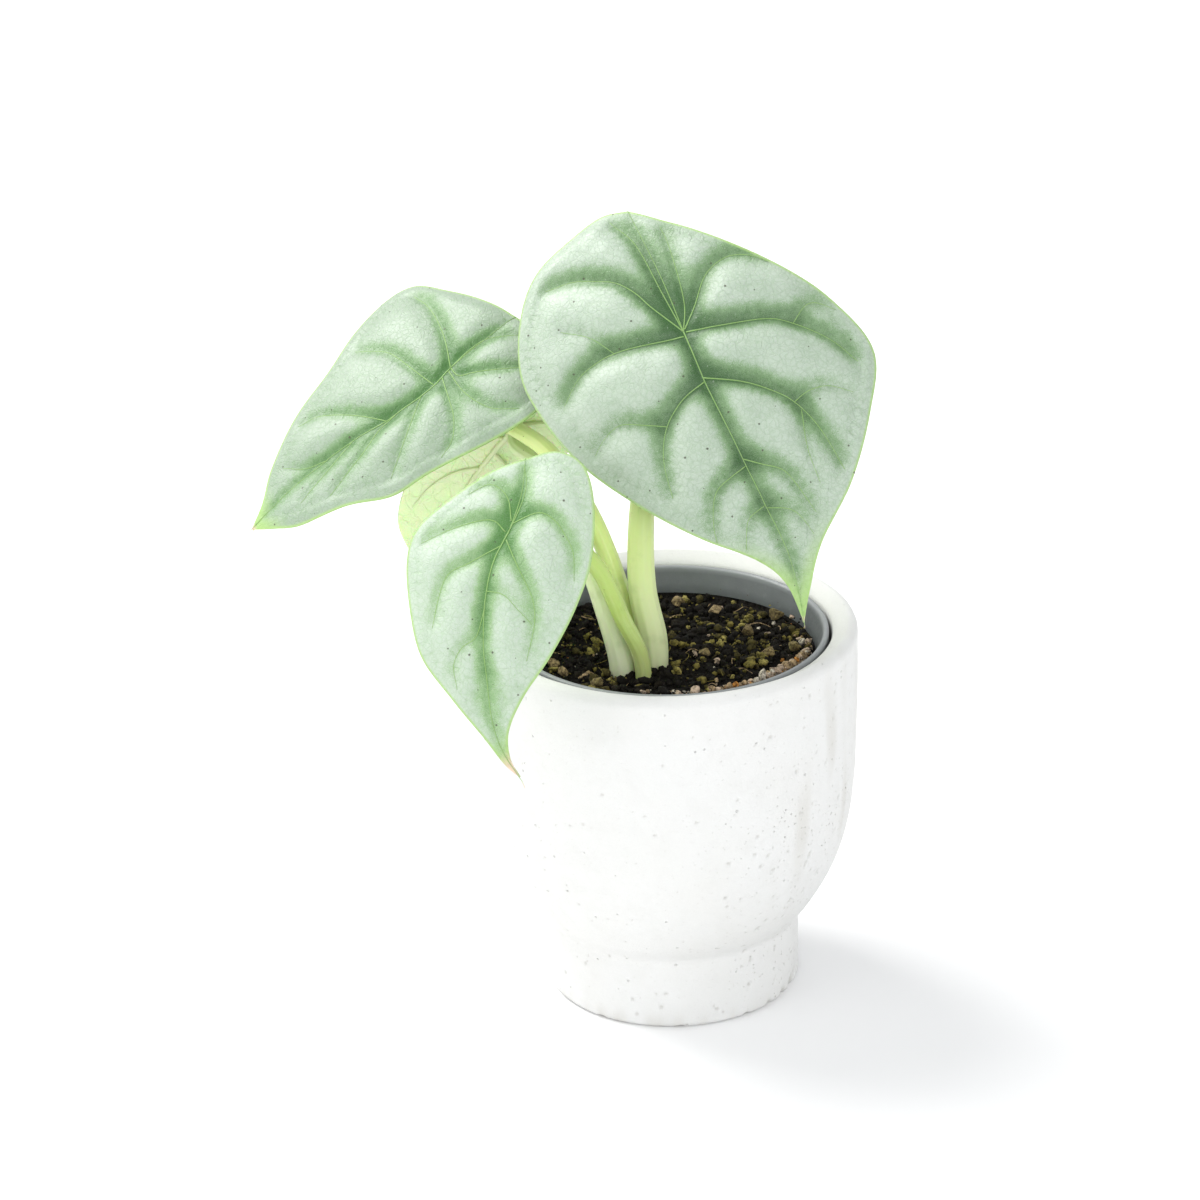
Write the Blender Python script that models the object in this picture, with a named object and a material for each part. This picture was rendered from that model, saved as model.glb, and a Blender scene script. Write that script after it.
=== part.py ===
"""Young shield-leaved alocasia in a round nursery pot, standing inside a cast concrete cover pot.

Every piece is its own closed solid. Lengths are in metres with +Z up, and the origin is the
centre of the cover pot's flat foot. Small shapes are written in millimetres and scaled by MM.
"""
import math
import random

import bmesh
import bpy
from mathutils import Vector, noise

MM = 0.001
GAP = 0.3  # clearance between two pieces that touch, in mm

# Cover pot, in mm: a round body that narrows in a soft curve to a straight foot.
POT_HEIGHT = 95.3
POT_RADIUS = 46.0
FOOT_RADIUS = 31.3
FOOT_HEIGHT = 18.6
# The wall's outer line from the foot up to the rim: (radius, height) in mm.
WALL_LINE = [(31.9, 19.2), (35.6, 24.0), (40.3, 32.5), (43.7, 43.5), (45.4, 58.0), (46.0, 80.0)]
POT_LIP_RADIUS = 2.6
POT_BORE_RADIUS = 39.6
POT_FLOOR = 25.0
POT_BOWL = (12.0, 30.0)  # width and height of the rounded lower part of the cavity
POT_SIDES = 44

# Nursery pot, in mm: thin moulded plastic with a lip and five drain holes.
INNER_FLOOR = POT_FLOOR + GAP
INNER_TOP = 93.2
INNER_LIP_RADIUS = 38.9
INNER_TOP_RADIUS = 37.1
INNER_BASE_RADIUS = 28.0
INNER_WALL = 1.0
INNER_LIP_DROP = 4.4
DRAIN_RADIUS = 3.0
DRAIN_RING_RADIUS = 17.0
INNER_SIDES = 40

# Potting mix, in mm: filled a little higher at the front than at the back.
MIX_TOP = 87.8
MIX_SLOPE = 0.045
MIX_BUMP = 0.7
MIX_RINGS = 7
MIX_SIDES = 32

# Corm, in mm, buried under the petioles.
CORM_CENTRE = (-7.7, -14.4)
CORM_PROFILE = [(0.0, 65.0), (5.0, 66.3), (8.0, 70.0), (9.0, 75.0), (8.8, 80.0), (7.6, 84.1), (0.0, 84.1)]

# Leaf blades, in mm. u runs across the blade and v from the hub, where the petiole joins, to the tip.
BLADE_THICKNESS = 0.8
BLADE_EDGE_THICKNESS = 0.45
BLADE_ROWS = 20
BLADE_COLUMNS = 5
LEAVES = {
    "leaf_blade_large": dict(
        hub=(4.6, 0.0, 170.0),
        tip_direction=(0.333, -0.624, -0.707),
        face=(-0.067, -0.763, 0.643),
        length=76.0, back=38.0, half_width=42.0,
        droop_tip=25.0, droop_back=25.0, arch_right=20.0, arch_left=35.0,
        left=[
            (-1.0, -36.2), (-7.5, -38.0), (-17.0, -36.0), (-28.5, -32.0), (-36.5, -22.5),
            (-41.5, -9.0), (-40.5, 4.0), (-35.0, 20.5), (-25.0, 36.0), (-14.5, 48.0),
            (-4.0, 57.5), (0.5, 65.0), (1.3, 75.1),
        ],
        right=[
            (-1.0, -36.2), (5.0, -30.5), (12.0, -24.0), (25.0, -10.5), (36.0, 4.5), (41.0, 20.0),
            (34.5, 34.0), (24.0, 48.0), (12.0, 59.0), (5.2, 68.5), (1.3, 75.1),
        ],
        midrib=[
            (-1.0, -36.2), (0.0, -15.0), (0.0, 0.0), (0.2, 14.5), (1.4, 30.0), (2.6, 45.0),
            (3.6, 58.0), (2.6, 68.0), (1.3, 75.1),
        ],
    ),
    "leaf_blade_left": dict(
        hub=(-51.4, 22.0, 154.1),
        tip_direction=(-0.762, -0.421, -0.492),
        face=(-0.242, -0.520, 0.819),
        length=62.0, back=24.0, half_width=35.0,
        droop_tip=25.0, droop_back=15.0, arch_right=15.0, arch_left=25.0,
        left=[
            (0.0, -20.8), (-8.0, -19.5), (-22.0, -15.5), (-32.5, -11.5), (-35.5, -3.0),
            (-32.5, 9.0), (-27.5, 21.5), (-24.5, 35.5), (-18.5, 48.0), (-13.5, 55.5), (-11.0, 62.2),
        ],
        right=[
            (0.0, -20.8), (8.0, -22.0), (17.0, -21.5), (24.0, -16.5), (26.0, -5.0), (24.0, 8.0),
            (19.0, 23.0), (16.0, 33.0), (8.0, 42.0), (1.0, 53.0), (-5.3, 58.2), (-11.0, 62.2),
        ],
        midrib=[
            (0.0, -20.8), (0.0, -8.0), (0.0, 0.0), (1.1, 8.0), (-0.6, 18.7), (-4.2, 30.2),
            (-7.0, 41.0), (-9.2, 51.0), (-11.0, 62.2),
        ],
    ),
    "leaf_blade_front": dict(
        hub=(-36.9, -34.0, 134.6),
        tip_direction=(0.017, -0.714, -0.700),
        face=(-0.123, -0.696, 0.707),
        length=58.0, back=22.0, half_width=28.0,
        droop_tip=25.0, droop_back=20.0, arch_right=20.0, arch_left=25.0,
        left=[
            (4.0, -18.6), (-3.4, -15.8), (-12.8, -10.4), (-22.3, -3.9), (-25.5, 4.5), (-25.0, 18.0),
            (-22.5, 29.0), (-15.5, 39.5), (-8.5, 49.0), (-4.5, 55.0), (-1.2, 58.3),
        ],
        right=[
            (4.0, -18.6), (11.5, -20.5), (17.5, -16.5), (19.8, -6.0), (18.8, 8.5), (14.7, 20.0),
            (8.3, 31.0), (1.3, 40.0), (-2.7, 47.5), (-3.0, 53.5), (-1.2, 58.3),
        ],
        midrib=[
            (4.0, -18.6), (3.0, -9.0), (0.0, 0.0), (-4.0, 7.5), (-6.5, 17.0), (-7.4, 27.0),
            (-7.1, 36.0), (-6.5, 45.0), (-4.6, 52.0), (-1.2, 58.3),
        ],
    ),
    "leaf_blade_back": dict(
        hub=(-35.2, 21.0, 139.3),
        tip_direction=(-0.535, 0.482, -0.694),
        face=(0.074, 0.845, 0.530),
        length=48.0, back=14.0, half_width=18.0,
        droop_tip=45.0, droop_back=10.0, arch_right=16.0, arch_left=16.0,
        left=[
            (0.0, -9.0), (-6.0, -9.5), (-12.5, -6.0), (-15.5, 3.0), (-16.0, 16.0), (-13.5, 28.0),
            (-8.5, 38.0), (-3.0, 46.0), (0.0, 51.0),
        ],
        right=[
            (0.0, -9.0), (4.0, -8.0), (6.5, -3.5), (9.0, 6.0), (13.5, 18.0), (14.8, 28.5),
            (11.5, 40.0), (4.0, 47.0), (0.0, 51.0),
        ],
        midrib=[(0.0, -9.0), (0.0, 0.0), (0.0, 24.0), (0.0, 51.0)],
    ),
}

# Petioles, in mm: the blade it carries, the length of its straight end, and then
# (x, y, z, radius) from the corm up to the underside of the blade.
PETIOLE_SIDES = 10
PETIOLE_STEPS = 3
PETIOLE_GAP = 0.5  # between a petiole's end and the blade above it
PETIOLES = {
    "petiole_large": ("leaf_blade_large", 8.0, [
        (-3.8, -12.6, 84.5, 3.1), (-3.9, -13.0, 96.0, 3.4), (-6.3, -12.5, 110.2, 3.3),
        (-5.9, -9.0, 127.5, 3.0), (-3.2, -1.0, 140.0, 2.7), (1.5, 6.5, 152.5, 2.4),
    ]),
    "petiole_left": ("leaf_blade_left", 6.0, [
        (-9.8, -9.2, 84.5, 2.4), (-8.9, -8.8, 94.3, 2.6), (-13.0, -7.5, 111.5, 2.5),
        (-18.4, -3.8, 125.3, 2.3), (-27.0, 3.5, 137.5, 2.1), (-37.5, 11.5, 142.7, 2.0),
        (-45.5, 17.5, 145.8, 1.9),
    ]),
    "petiole_front": ("leaf_blade_front", 5.0, [
        (-6.1, -19.2, 84.5, 1.9), (-7.1, -20.3, 95.5, 1.9), (-11.2, -22.5, 106.2, 2.0),
        (-16.2, -26.0, 119.6, 2.0), (-22.5, -28.0, 127.4, 2.0), (-30.0, -28.5, 130.0, 1.9),
    ]),
    "petiole_back": ("leaf_blade_back", 7.0, [
        (-11.4, -15.8, 84.5, 3.0), (-11.6, -16.0, 93.6, 3.2), (-15.4, -15.5, 107.8, 2.9),
        (-19.2, -11.4, 116.7, 2.4), (-24.9, -1.5, 125.0, 2.0), (-30.3, 9.0, 132.8, 1.9),
    ]),
}

# Roots, in mm: (x, y, z, radius) from inside the corm outwards and down.
ROOT_SIDES = 8
ROOTS = {
    "root_1": [(-4, -16, 76, 1.1), (4, -22, 68, 1.1), (10, -20, 52, 0.9), (14, -13, 38, 0.7)],
    "root_2": [(-8, -18, 74, 1.1), (-12, -25, 64, 1.1), (-8, -23, 46, 0.9), (-4, -15, 33, 0.7)],
    "root_3": [(-12, -13, 76, 1.0), (-23, -9, 70, 1.0), (-25, -3, 54, 0.9), (-19, 2, 40, 0.7)],
    "root_4": [(-8, -10, 75, 1.1), (-10, 1, 70, 1.1), (-12, 13, 58, 0.9), (-6, 20, 42, 0.7)],
    "root_5": [(-4, -12, 77, 1.0), (8, -6, 72, 1.0), (19, 0, 60, 0.9), (20, 7, 44, 0.7)],
    "root_6": [(-8, -14, 70, 1.2), (-5, -8, 58, 1.1), (1, 0, 44, 0.9), (7, 3, 31, 0.7)],
}

# Larger mineral and bark granules that lie on the mix: (x, y, radius) in mm.
GRANULES = [
    (-28.0, -11.0, 1.7), (-25.5, -16.5, 1.4), (-17.5, -25.5, 1.6), (12.0, 21.0, 1.8),
    (19.5, 8.0, 1.6), (27.0, 15.0, 1.9), (8.5, -6.5, 1.5), (3.0, 26.0, 1.7),
    (24.0, -9.0, 1.5), (30.5, -3.0, 1.6),
]

# Base colours of the materials.
CONCRETE = (0.86, 0.86, 0.85, 1.0)
DARK_PLASTIC = (0.10, 0.11, 0.12, 1.0)
PEAT = (0.045, 0.030, 0.020, 1.0)
CORM_SKIN = (0.30, 0.20, 0.12, 1.0)
ROOT_SKIN = (0.72, 0.64, 0.50, 1.0)
PETIOLE_GREEN = (0.52, 0.66, 0.28, 1.0)
BLADE_GREEN = (0.36, 0.52, 0.36, 1.0)
YOUNG_GREEN = (0.66, 0.76, 0.42, 1.0)
GRANULE_TAN = (0.62, 0.44, 0.22, 1.0)


def material(name, color, roughness):
    made = bpy.data.materials.new(name)
    made.use_nodes = True
    shader = made.node_tree.nodes["Principled BSDF"]
    shader.inputs["Base Color"].default_value = color
    shader.inputs["Roughness"].default_value = roughness
    return made


def mesh_object(name, points, faces, skin):
    """An object from points in millimetres, with its faces turned outwards."""
    mesh = bpy.data.meshes.new(name)
    mesh.from_pydata([tuple(c * MM for c in point) for point in points], [], faces)
    shaped = bmesh.new()
    shaped.from_mesh(mesh)
    bmesh.ops.recalc_face_normals(shaped, faces=shaped.faces)
    shaped.to_mesh(mesh)
    shaped.free()
    mesh.materials.append(skin)
    for polygon in mesh.polygons:
        polygon.use_smooth = True
    made = bpy.data.objects.new(name, mesh)
    bpy.context.scene.collection.objects.link(made)
    return made


def revolved(name, profile, sides, skin, centre=(0.0, 0.0)):
    """A solid turned from (radius, height) points that start and end on the axis."""
    points = [(centre[0], centre[1], profile[0][1])]
    faces = []
    for radius, height in profile[1:-1]:
        for side in range(sides):
            angle = 2 * math.pi * side / sides
            points.append((
                centre[0] + radius * math.cos(angle),
                centre[1] + radius * math.sin(angle),
                height,
            ))
    points.append((centre[0], centre[1], profile[-1][1]))
    last = len(points) - 1
    rings = len(profile) - 2
    for side in range(sides):
        after = (side + 1) % sides
        faces.append((0, 1 + side, 1 + after))
        faces.append((last, last - sides + after, last - sides + side))
        for ring in range(rings - 1):
            low = 1 + ring * sides
            high = low + sides
            faces.append((low + side, high + side, high + after, low + after))
    return mesh_object(name, points, faces, skin)


def arc(centre, radius, start, end, count):
    """Points of an arc in the (radius, height) plane; angles in degrees, radius as a pair for an ellipse."""
    found = []
    for step in range(count + 1):
        angle = math.radians(start + (end - start) * step / count)
        found.append((
            centre[0] + radius[0] * math.cos(angle),
            centre[1] + radius[1] * math.sin(angle),
        ))
    return found


def spline(points, steps):
    """A smooth curve through the points, of any number of coordinates, with its ends kept."""
    points = [Vector(point) for point in points]
    before = points[0] * 2 - points[1]
    beyond = points[-1] * 2 - points[-2]
    knots = [before, *points, beyond]
    curve = []
    for i in range(1, len(knots) - 2):
        a, b, c, d = knots[i - 1:i + 3]
        for step in range(steps):
            t = step / steps
            curve.append(
                0.5 * (2 * b + (c - a) * t + (2 * a - 5 * b + 4 * c - d) * t * t
                       + (3 * b - a - 3 * c + d) * t * t * t)
            )
    curve.append(points[-1])
    return curve


def even_samples(curve, count):
    """The curve walked in equal steps, without its last point."""
    lengths = [0.0]
    for a, b in zip(curve, curve[1:]):
        lengths.append(lengths[-1] + (b - a).length)
    found = []
    segment = 0
    for step in range(count):
        wanted = lengths[-1] * step / count
        while lengths[segment + 1] < wanted:
            segment += 1
        part = (wanted - lengths[segment]) / (lengths[segment + 1] - lengths[segment])
        found.append(curve[segment].lerp(curve[segment + 1], part))
    return found


def tube(name, path, sides, skin, extra=0.0):
    """A round tube along (x, y, z, radius) points, closed at both ends."""
    centres = [Vector(point[:3]) for point in path]
    points = []
    faces = []
    across = Vector((1.0, 0.0, 0.0))
    for i, centre in enumerate(centres):
        ahead = centres[min(i + 1, len(centres) - 1)] - centres[max(i - 1, 0)]
        ahead.normalize()
        across = (across - ahead * across.dot(ahead)).normalized()
        other = ahead.cross(across)
        radius = path[i][3] + extra
        for side in range(sides):
            angle = 2 * math.pi * side / sides
            points.append(tuple(centre + radius * (math.cos(angle) * across + math.sin(angle) * other)))
    for ring in range(len(centres) - 1):
        low = ring * sides
        for side in range(sides):
            after = (side + 1) % sides
            faces.append((low + side, low + after, low + sides + after, low + sides + side))
    faces.append(tuple(range(sides)))
    faces.append(tuple(len(points) - sides + side for side in range(sides)))
    return mesh_object(name, points, faces, skin)


def cut(target, cutter):
    cutter.hide_render = True
    cutter.display_type = "WIRE"
    boolean = target.modifiers.new("cut_" + cutter.name, "BOOLEAN")
    boolean.operation = "DIFFERENCE"
    boolean.solver = "EXACT"
    boolean.object = cutter


def leaf_axes(leaf):
    """Unit vectors of a leaf at its hub: towards the tip, out of its upper face, and to its right."""
    face = Vector(leaf["face"]).normalized()
    along = Vector(leaf["tip_direction"])
    along = (along - face * along.dot(face)).normalized()
    return along, face, face.cross(along)


def blade_point(leaf, u, v):
    """The middle surface of a blade at (u, v), and its normal: bent along its length and its width."""
    along, face, right = leaf_axes(leaf)
    if v >= 0:
        bend = math.radians(leaf["droop_tip"]) / leaf["length"]
    else:
        bend = math.radians(leaf["droop_back"]) / leaf["back"]
    turn = bend * v
    centre = along * (math.sin(turn) / bend) - face * ((1 - math.cos(abs(turn))) / bend)
    arch = leaf["arch_right"] if u >= 0 else leaf["arch_left"]
    curl = math.radians(arch) / leaf["half_width"]
    roll = curl * u
    up = face * math.cos(turn) + along * math.sin(turn)
    across = right * (math.sin(roll) / curl) - up * ((1 - math.cos(roll)) / curl)
    normal = up * math.cos(roll) + right * math.sin(roll)
    return Vector(leaf["hub"]) + centre + across, normal


def blade_rows(leaf):
    """Rows of (u, v, share) across the blade, share going 0 on the midrib to 1 on the margin."""
    sides = [even_samples(spline(leaf[part], 8), BLADE_ROWS) for part in ("left", "midrib", "right")]
    rows = []
    for left, middle, right in list(zip(*sides))[1:]:
        row = []
        for column in range(-BLADE_COLUMNS, BLADE_COLUMNS + 1):
            share = abs(column) / BLADE_COLUMNS
            margin = left if column < 0 else right
            spot = middle.lerp(margin, share)
            row.append((spot[0], spot[1], share))
        rows.append(row)
    return rows


def blade(name, leaf, skin):
    """A thin closed blade: rows across it from the back edge to the tip, above and below."""
    rows = blade_rows(leaf)
    width = len(rows[0])
    points = []
    faces = []
    for side in (1.0, -1.0):
        for ends in (leaf["midrib"][0], leaf["midrib"][-1]):
            centre, normal = blade_point(leaf, *ends)
            points.append(tuple(centre + normal * side * BLADE_EDGE_THICKNESS / 2))
        for row in rows:
            for u, v, share in row:
                thickness = BLADE_THICKNESS + (BLADE_EDGE_THICKNESS - BLADE_THICKNESS) * share ** 3
                centre, normal = blade_point(leaf, u, v)
                points.append(tuple(centre + normal * side * thickness / 2))
    layer = 2 + len(rows) * width
    for start in (0, layer):
        for column in range(width - 1):
            first = start + 2 + column
            last = first + (len(rows) - 1) * width
            faces.append((start, first, first + 1))
            faces.append((start + 1, last + 1, last))
            for row in range(len(rows) - 1):
                low = first + row * width
                faces.append((low, low + width, low + width + 1, low + 1))
    for column in (0, width - 1):
        rim = [0, *(2 + row * width + column for row in range(len(rows))), 1]
        for a, b in zip(rim, rim[1:]):
            faces.append((a, b, layer + b, layer + a))
    return mesh_object(name, points, faces, skin)


def petiole_path(leaf, straight, points):
    """The petiole's points, ended square against the underside of its blade."""
    hub = Vector(leaf["hub"])
    _, face, _ = leaf_axes(leaf)
    radius = points[-1][3]
    stop = hub - face * (BLADE_THICKNESS / 2 + PETIOLE_GAP)
    before = hub - face * straight
    return spline([*points, (*before, radius), (*stop, radius)], PETIOLE_STEPS)


def mix_height(x, y):
    """Height of the potting mix's surface, in mm: a gentle slope with small lumps."""
    lumps = noise.noise(Vector((x * 0.16, y * 0.16, 3.7)))
    fine = noise.noise(Vector((x * 0.45, y * 0.45, 8.1)))
    return MIX_TOP - MIX_SLOPE * y + MIX_BUMP * (1.5 * lumps + 0.6 * fine)


def inner_wall_radius(height):
    """Inner radius of the nursery pot at a height, in mm."""
    share = (height - INNER_FLOOR) / (INNER_TOP - INNER_LIP_DROP - INNER_FLOOR)
    return INNER_BASE_RADIUS + (INNER_TOP_RADIUS - INNER_BASE_RADIUS) * share - INNER_WALL


def make_cover_pot():
    lip = POT_LIP_RADIUS
    shoulder = [tuple(point) for point in spline(WALL_LINE, 2)]
    outer_lip = arc((POT_RADIUS - lip, POT_HEIGHT - lip), (lip, lip), 0, 90, 3)
    inner_lip = arc((POT_BORE_RADIUS + 1.6, POT_HEIGHT - 3.2), (1.6, 1.6), 90, 180, 2)
    floor = arc((POT_BORE_RADIUS - POT_BOWL[0], POT_FLOOR + POT_BOWL[1]), POT_BOWL, 0, -90, 6)
    profile = [(0.0, 0.0), (FOOT_RADIUS - 0.8, 0.0), (FOOT_RADIUS, 0.8), (FOOT_RADIUS, FOOT_HEIGHT)]
    profile += shoulder + outer_lip + inner_lip + floor + [(0.0, POT_FLOOR)]
    return revolved("cover_pot", profile, POT_SIDES, material("cast_concrete", CONCRETE, 0.85))


def make_nursery_pot():
    shoulder = INNER_TOP - INNER_LIP_DROP
    wall = INNER_WALL
    profile = [
        (0.0, INNER_FLOOR), (INNER_BASE_RADIUS - 1.5, INNER_FLOOR), (INNER_BASE_RADIUS, INNER_FLOOR + 1.5),
        (INNER_TOP_RADIUS, shoulder), (INNER_LIP_RADIUS, shoulder + 0.5), (INNER_LIP_RADIUS, INNER_TOP - 0.4),
        (INNER_LIP_RADIUS - 0.4, INNER_TOP), (INNER_LIP_RADIUS - 1.0, INNER_TOP),
        (INNER_LIP_RADIUS - 1.4, INNER_TOP - 0.4), (INNER_TOP_RADIUS - wall, shoulder - 0.3),
        (INNER_BASE_RADIUS - wall, INNER_FLOOR + 2.4), (INNER_BASE_RADIUS - wall - 1.0, INNER_FLOOR + 1.2),
        (0.0, INNER_FLOOR + 1.2),
    ]
    pot = revolved("nursery_pot", profile, INNER_SIDES, material("dark_plastic", DARK_PLASTIC, 0.45))
    for hole in range(5):
        angle = 2 * math.pi * (hole + 0.31) / 5
        spot = (DRAIN_RING_RADIUS * math.cos(angle), DRAIN_RING_RADIUS * math.sin(angle))
        below, above = INNER_FLOOR - 2, INNER_FLOOR + 4
        drill = [(0.0, below), (DRAIN_RADIUS, below), (DRAIN_RADIUS, above), (0.0, above)]
        cut(pot, revolved(f"drain_cutter_{hole}", drill, 12, pot.data.materials[0], spot))
    return pot


def make_potting_mix():
    """A fill that follows the nursery pot's wall, with a lumpy top."""
    low = INNER_FLOOR + 1.2 + GAP
    heights = [low, low + 1.4, low + 30.0]
    points = [(0.0, 0.0, low)]
    rows = []
    for height in heights:
        radius = inner_wall_radius(max(height, INNER_FLOOR + 2.4)) - GAP - 0.2
        if height == low:
            radius -= 1.4
        rows.append((radius, height))
    rim = inner_wall_radius(MIX_TOP - 1.0) - GAP - 0.2
    for radius, height in rows:
        for side in range(MIX_SIDES):
            angle = 2 * math.pi * side / MIX_SIDES
            points.append((radius * math.cos(angle), radius * math.sin(angle), height))
    for ring in range(MIX_RINGS):
        radius = rim * (MIX_RINGS - ring) / MIX_RINGS
        for side in range(MIX_SIDES):
            angle = 2 * math.pi * side / MIX_SIDES
            x, y = radius * math.cos(angle), radius * math.sin(angle)
            points.append((x, y, mix_height(x, y)))
    points.append((0.0, 0.0, mix_height(0.0, 0.0)))
    last = len(points) - 1
    faces = []
    for side in range(MIX_SIDES):
        after = (side + 1) % MIX_SIDES
        faces.append((0, 1 + after, 1 + side))
        faces.append((last, last - MIX_SIDES + side, last - MIX_SIDES + after))
        for ring in range(len(heights) + MIX_RINGS - 1):
            bottom = 1 + ring * MIX_SIDES
            top = bottom + MIX_SIDES
            faces.append((bottom + side, bottom + after, top + after, top + side))
    return mesh_object("potting_mix", points, faces, material("peat_mix", PEAT, 0.95))


def widened(profile, extra):
    """A turned profile grown outwards by a margin."""
    low, high = profile[0][1], profile[-1][1]
    grown = [(0.0, low - extra)]
    for radius, height in profile[1:-1]:
        reach = height - extra if height < (low + high) / 2 else height + extra
        grown.append((radius + extra, reach))
    return grown + [(0.0, high + extra)]


def outside_corm(path):
    """The part of a root's curve that lies clear of the corm."""
    centre = Vector((*CORM_CENTRE, 75.0))
    return [point for point in path if (Vector(point[:3]) - centre).length > 10.8]


def make_granule(number, x, y, radius, skin):
    """An irregular lump that rests just above the mix."""
    chance = random.Random(number)
    shaped = bmesh.new()
    bmesh.ops.create_icosphere(shaped, subdivisions=2, radius=radius)
    for vert in shaped.verts:
        vert.co *= chance.uniform(0.86, 1.08)
        vert.co.z *= 0.8
    points = [tuple(vert.co) for vert in shaped.verts]
    faces = [tuple(vert.index for vert in face.verts) for face in shaped.faces]
    shaped.free()
    reach = max(mix_height(x + dx * radius, y + dy * radius) for dx in (-1, 0, 1) for dy in (-1, 0, 1))
    lift = reach + GAP - min(point[2] for point in points)
    placed = [(px + x, py + y, pz + lift) for px, py, pz in points]
    return mesh_object(f"granule_{number:02d}", placed, faces, skin)


for old in list(bpy.data.objects):
    bpy.data.objects.remove(old)

make_cover_pot()
make_nursery_pot()
mix = make_potting_mix()

corm_skin = material("corm_skin", CORM_SKIN, 0.8)
revolved("corm", CORM_PROFILE, 16, corm_skin, CORM_CENTRE)
cut(mix, revolved("corm_cutter", widened(CORM_PROFILE, 0.4), 16, corm_skin, CORM_CENTRE))

root_skin = material("root_skin", ROOT_SKIN, 0.7)
for name, knots in ROOTS.items():
    path = spline(knots, 3)
    tube(name, outside_corm(path), ROOT_SIDES, root_skin)
    end = path[-1] + (path[-1] - path[-2]).normalized() * 0.4
    cut(mix, tube(f"{name}_cutter", [*path[:-1], end], ROOT_SIDES, root_skin, 0.4))

petiole_skin = material("petiole_skin", PETIOLE_GREEN, 0.4)
blade_skin = material("blade_skin", BLADE_GREEN, 0.35)
young_skin = material("young_blade_skin", YOUNG_GREEN, 0.45)
for name, (leaf_name, straight, knots) in PETIOLES.items():
    leaf = LEAVES[leaf_name]
    path = petiole_path(leaf, straight, knots)
    tube(name, path, PETIOLE_SIDES, petiole_skin)
    low = Vector(knots[0]) + Vector((0.0, 0.0, -1.0, 0.0))
    cut(mix, tube(f"{name}_cutter", [low, *path[:4]], PETIOLE_SIDES, petiole_skin, 0.4))
    blade(leaf_name, leaf, young_skin if leaf_name == "leaf_blade_back" else blade_skin)

granule_skin = material("granule_mineral", GRANULE_TAN, 0.9)
for number, (x, y, radius) in enumerate(GRANULES, 1):
    make_granule(number, x, y, radius, granule_skin)
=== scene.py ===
# %% [markdown]
# # A young shield-leaved alocasia in a concrete cover pot
#
# The real thing is a small houseplant. Four quilted leaves stand on juicy stalks that rise from one
# crown. The crown grows in a dark plastic nursery pot, and the nursery pot is dropped into a heavy
# cover pot of cast concrete.
#
# The packed model already holds every piece as a plain solid in its right place. This lesson dresses
# those solids: it builds each piece again with the detail that the real one shows, gives it a
# procedural finish, and then sets up the floor, the light and the camera.

# %% Load the packed model
import math
import random

import bmesh
import bpy
import numpy as np
from mathutils import Matrix, Vector, noise


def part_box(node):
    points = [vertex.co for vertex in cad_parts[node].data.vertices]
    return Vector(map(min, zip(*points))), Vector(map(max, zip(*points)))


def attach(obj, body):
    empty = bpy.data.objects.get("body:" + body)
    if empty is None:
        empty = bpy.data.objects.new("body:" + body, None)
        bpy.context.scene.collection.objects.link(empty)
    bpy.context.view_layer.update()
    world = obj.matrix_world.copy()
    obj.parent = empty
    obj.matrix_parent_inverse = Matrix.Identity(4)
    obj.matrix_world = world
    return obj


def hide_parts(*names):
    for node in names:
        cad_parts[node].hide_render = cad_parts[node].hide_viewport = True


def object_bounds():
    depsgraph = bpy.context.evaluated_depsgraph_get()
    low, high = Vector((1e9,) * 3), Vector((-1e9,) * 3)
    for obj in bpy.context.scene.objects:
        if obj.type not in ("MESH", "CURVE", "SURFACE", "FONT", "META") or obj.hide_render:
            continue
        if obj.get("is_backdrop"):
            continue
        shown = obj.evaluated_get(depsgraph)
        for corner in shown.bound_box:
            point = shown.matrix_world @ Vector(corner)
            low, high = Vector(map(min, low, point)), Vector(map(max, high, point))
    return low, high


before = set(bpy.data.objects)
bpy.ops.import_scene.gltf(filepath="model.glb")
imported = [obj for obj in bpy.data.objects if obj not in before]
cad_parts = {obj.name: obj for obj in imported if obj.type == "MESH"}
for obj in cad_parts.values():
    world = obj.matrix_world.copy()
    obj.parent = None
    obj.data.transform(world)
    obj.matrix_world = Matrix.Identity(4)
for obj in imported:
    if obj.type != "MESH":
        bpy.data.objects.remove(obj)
solid_low, solid_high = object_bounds()

# %% [markdown]
# ## Working in millimetres
#
# Leaves and crumbs are easiest to think about in millimetres, but Blender works in metres here. So
# every shape is worked out in millimetres and scaled once, where its mesh is made. One helper makes a
# mesh piece, smooths it, hangs it on the model's only body and hides the plain solids it stands for.

# %% A helper that makes one finished piece
MM = 0.001


def make_piece(name, points, faces, finishes, stands_for=(), face_finish=None, smooth=True):
    """A mesh from points in millimetres that rides with the plant and stands for some plain solids."""
    mesh = bpy.data.meshes.new(name)
    mesh.from_pydata((np.asarray(points, float) * MM).tolist(), [], faces)
    for finish in finishes:
        mesh.materials.append(finish)
    if face_finish is not None:
        mesh.polygons.foreach_set("material_index", face_finish)
    mesh.polygons.foreach_set("use_smooth", [smooth] * len(mesh.polygons))
    mesh.update()
    piece = bpy.data.objects.new(name, mesh)
    bpy.context.scene.collection.objects.link(piece)
    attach(piece, "root")
    if stands_for:
        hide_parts(*stands_for)
    return piece


def mark(piece, name, values):
    """Stores one number, or one vector, for each point, where a material can read it by name."""
    values = np.asarray(values, np.float32)
    if values.ndim == 1:
        layer = piece.data.attributes.new(name, "FLOAT", "POINT")
        layer.data.foreach_set("value", values)
    else:
        layer = piece.data.attributes.new(name, "FLOAT_VECTOR", "POINT")
        layer.data.foreach_set("vector", values.reshape(-1))


print("one millimetre is", MM, "Blender units")

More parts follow.
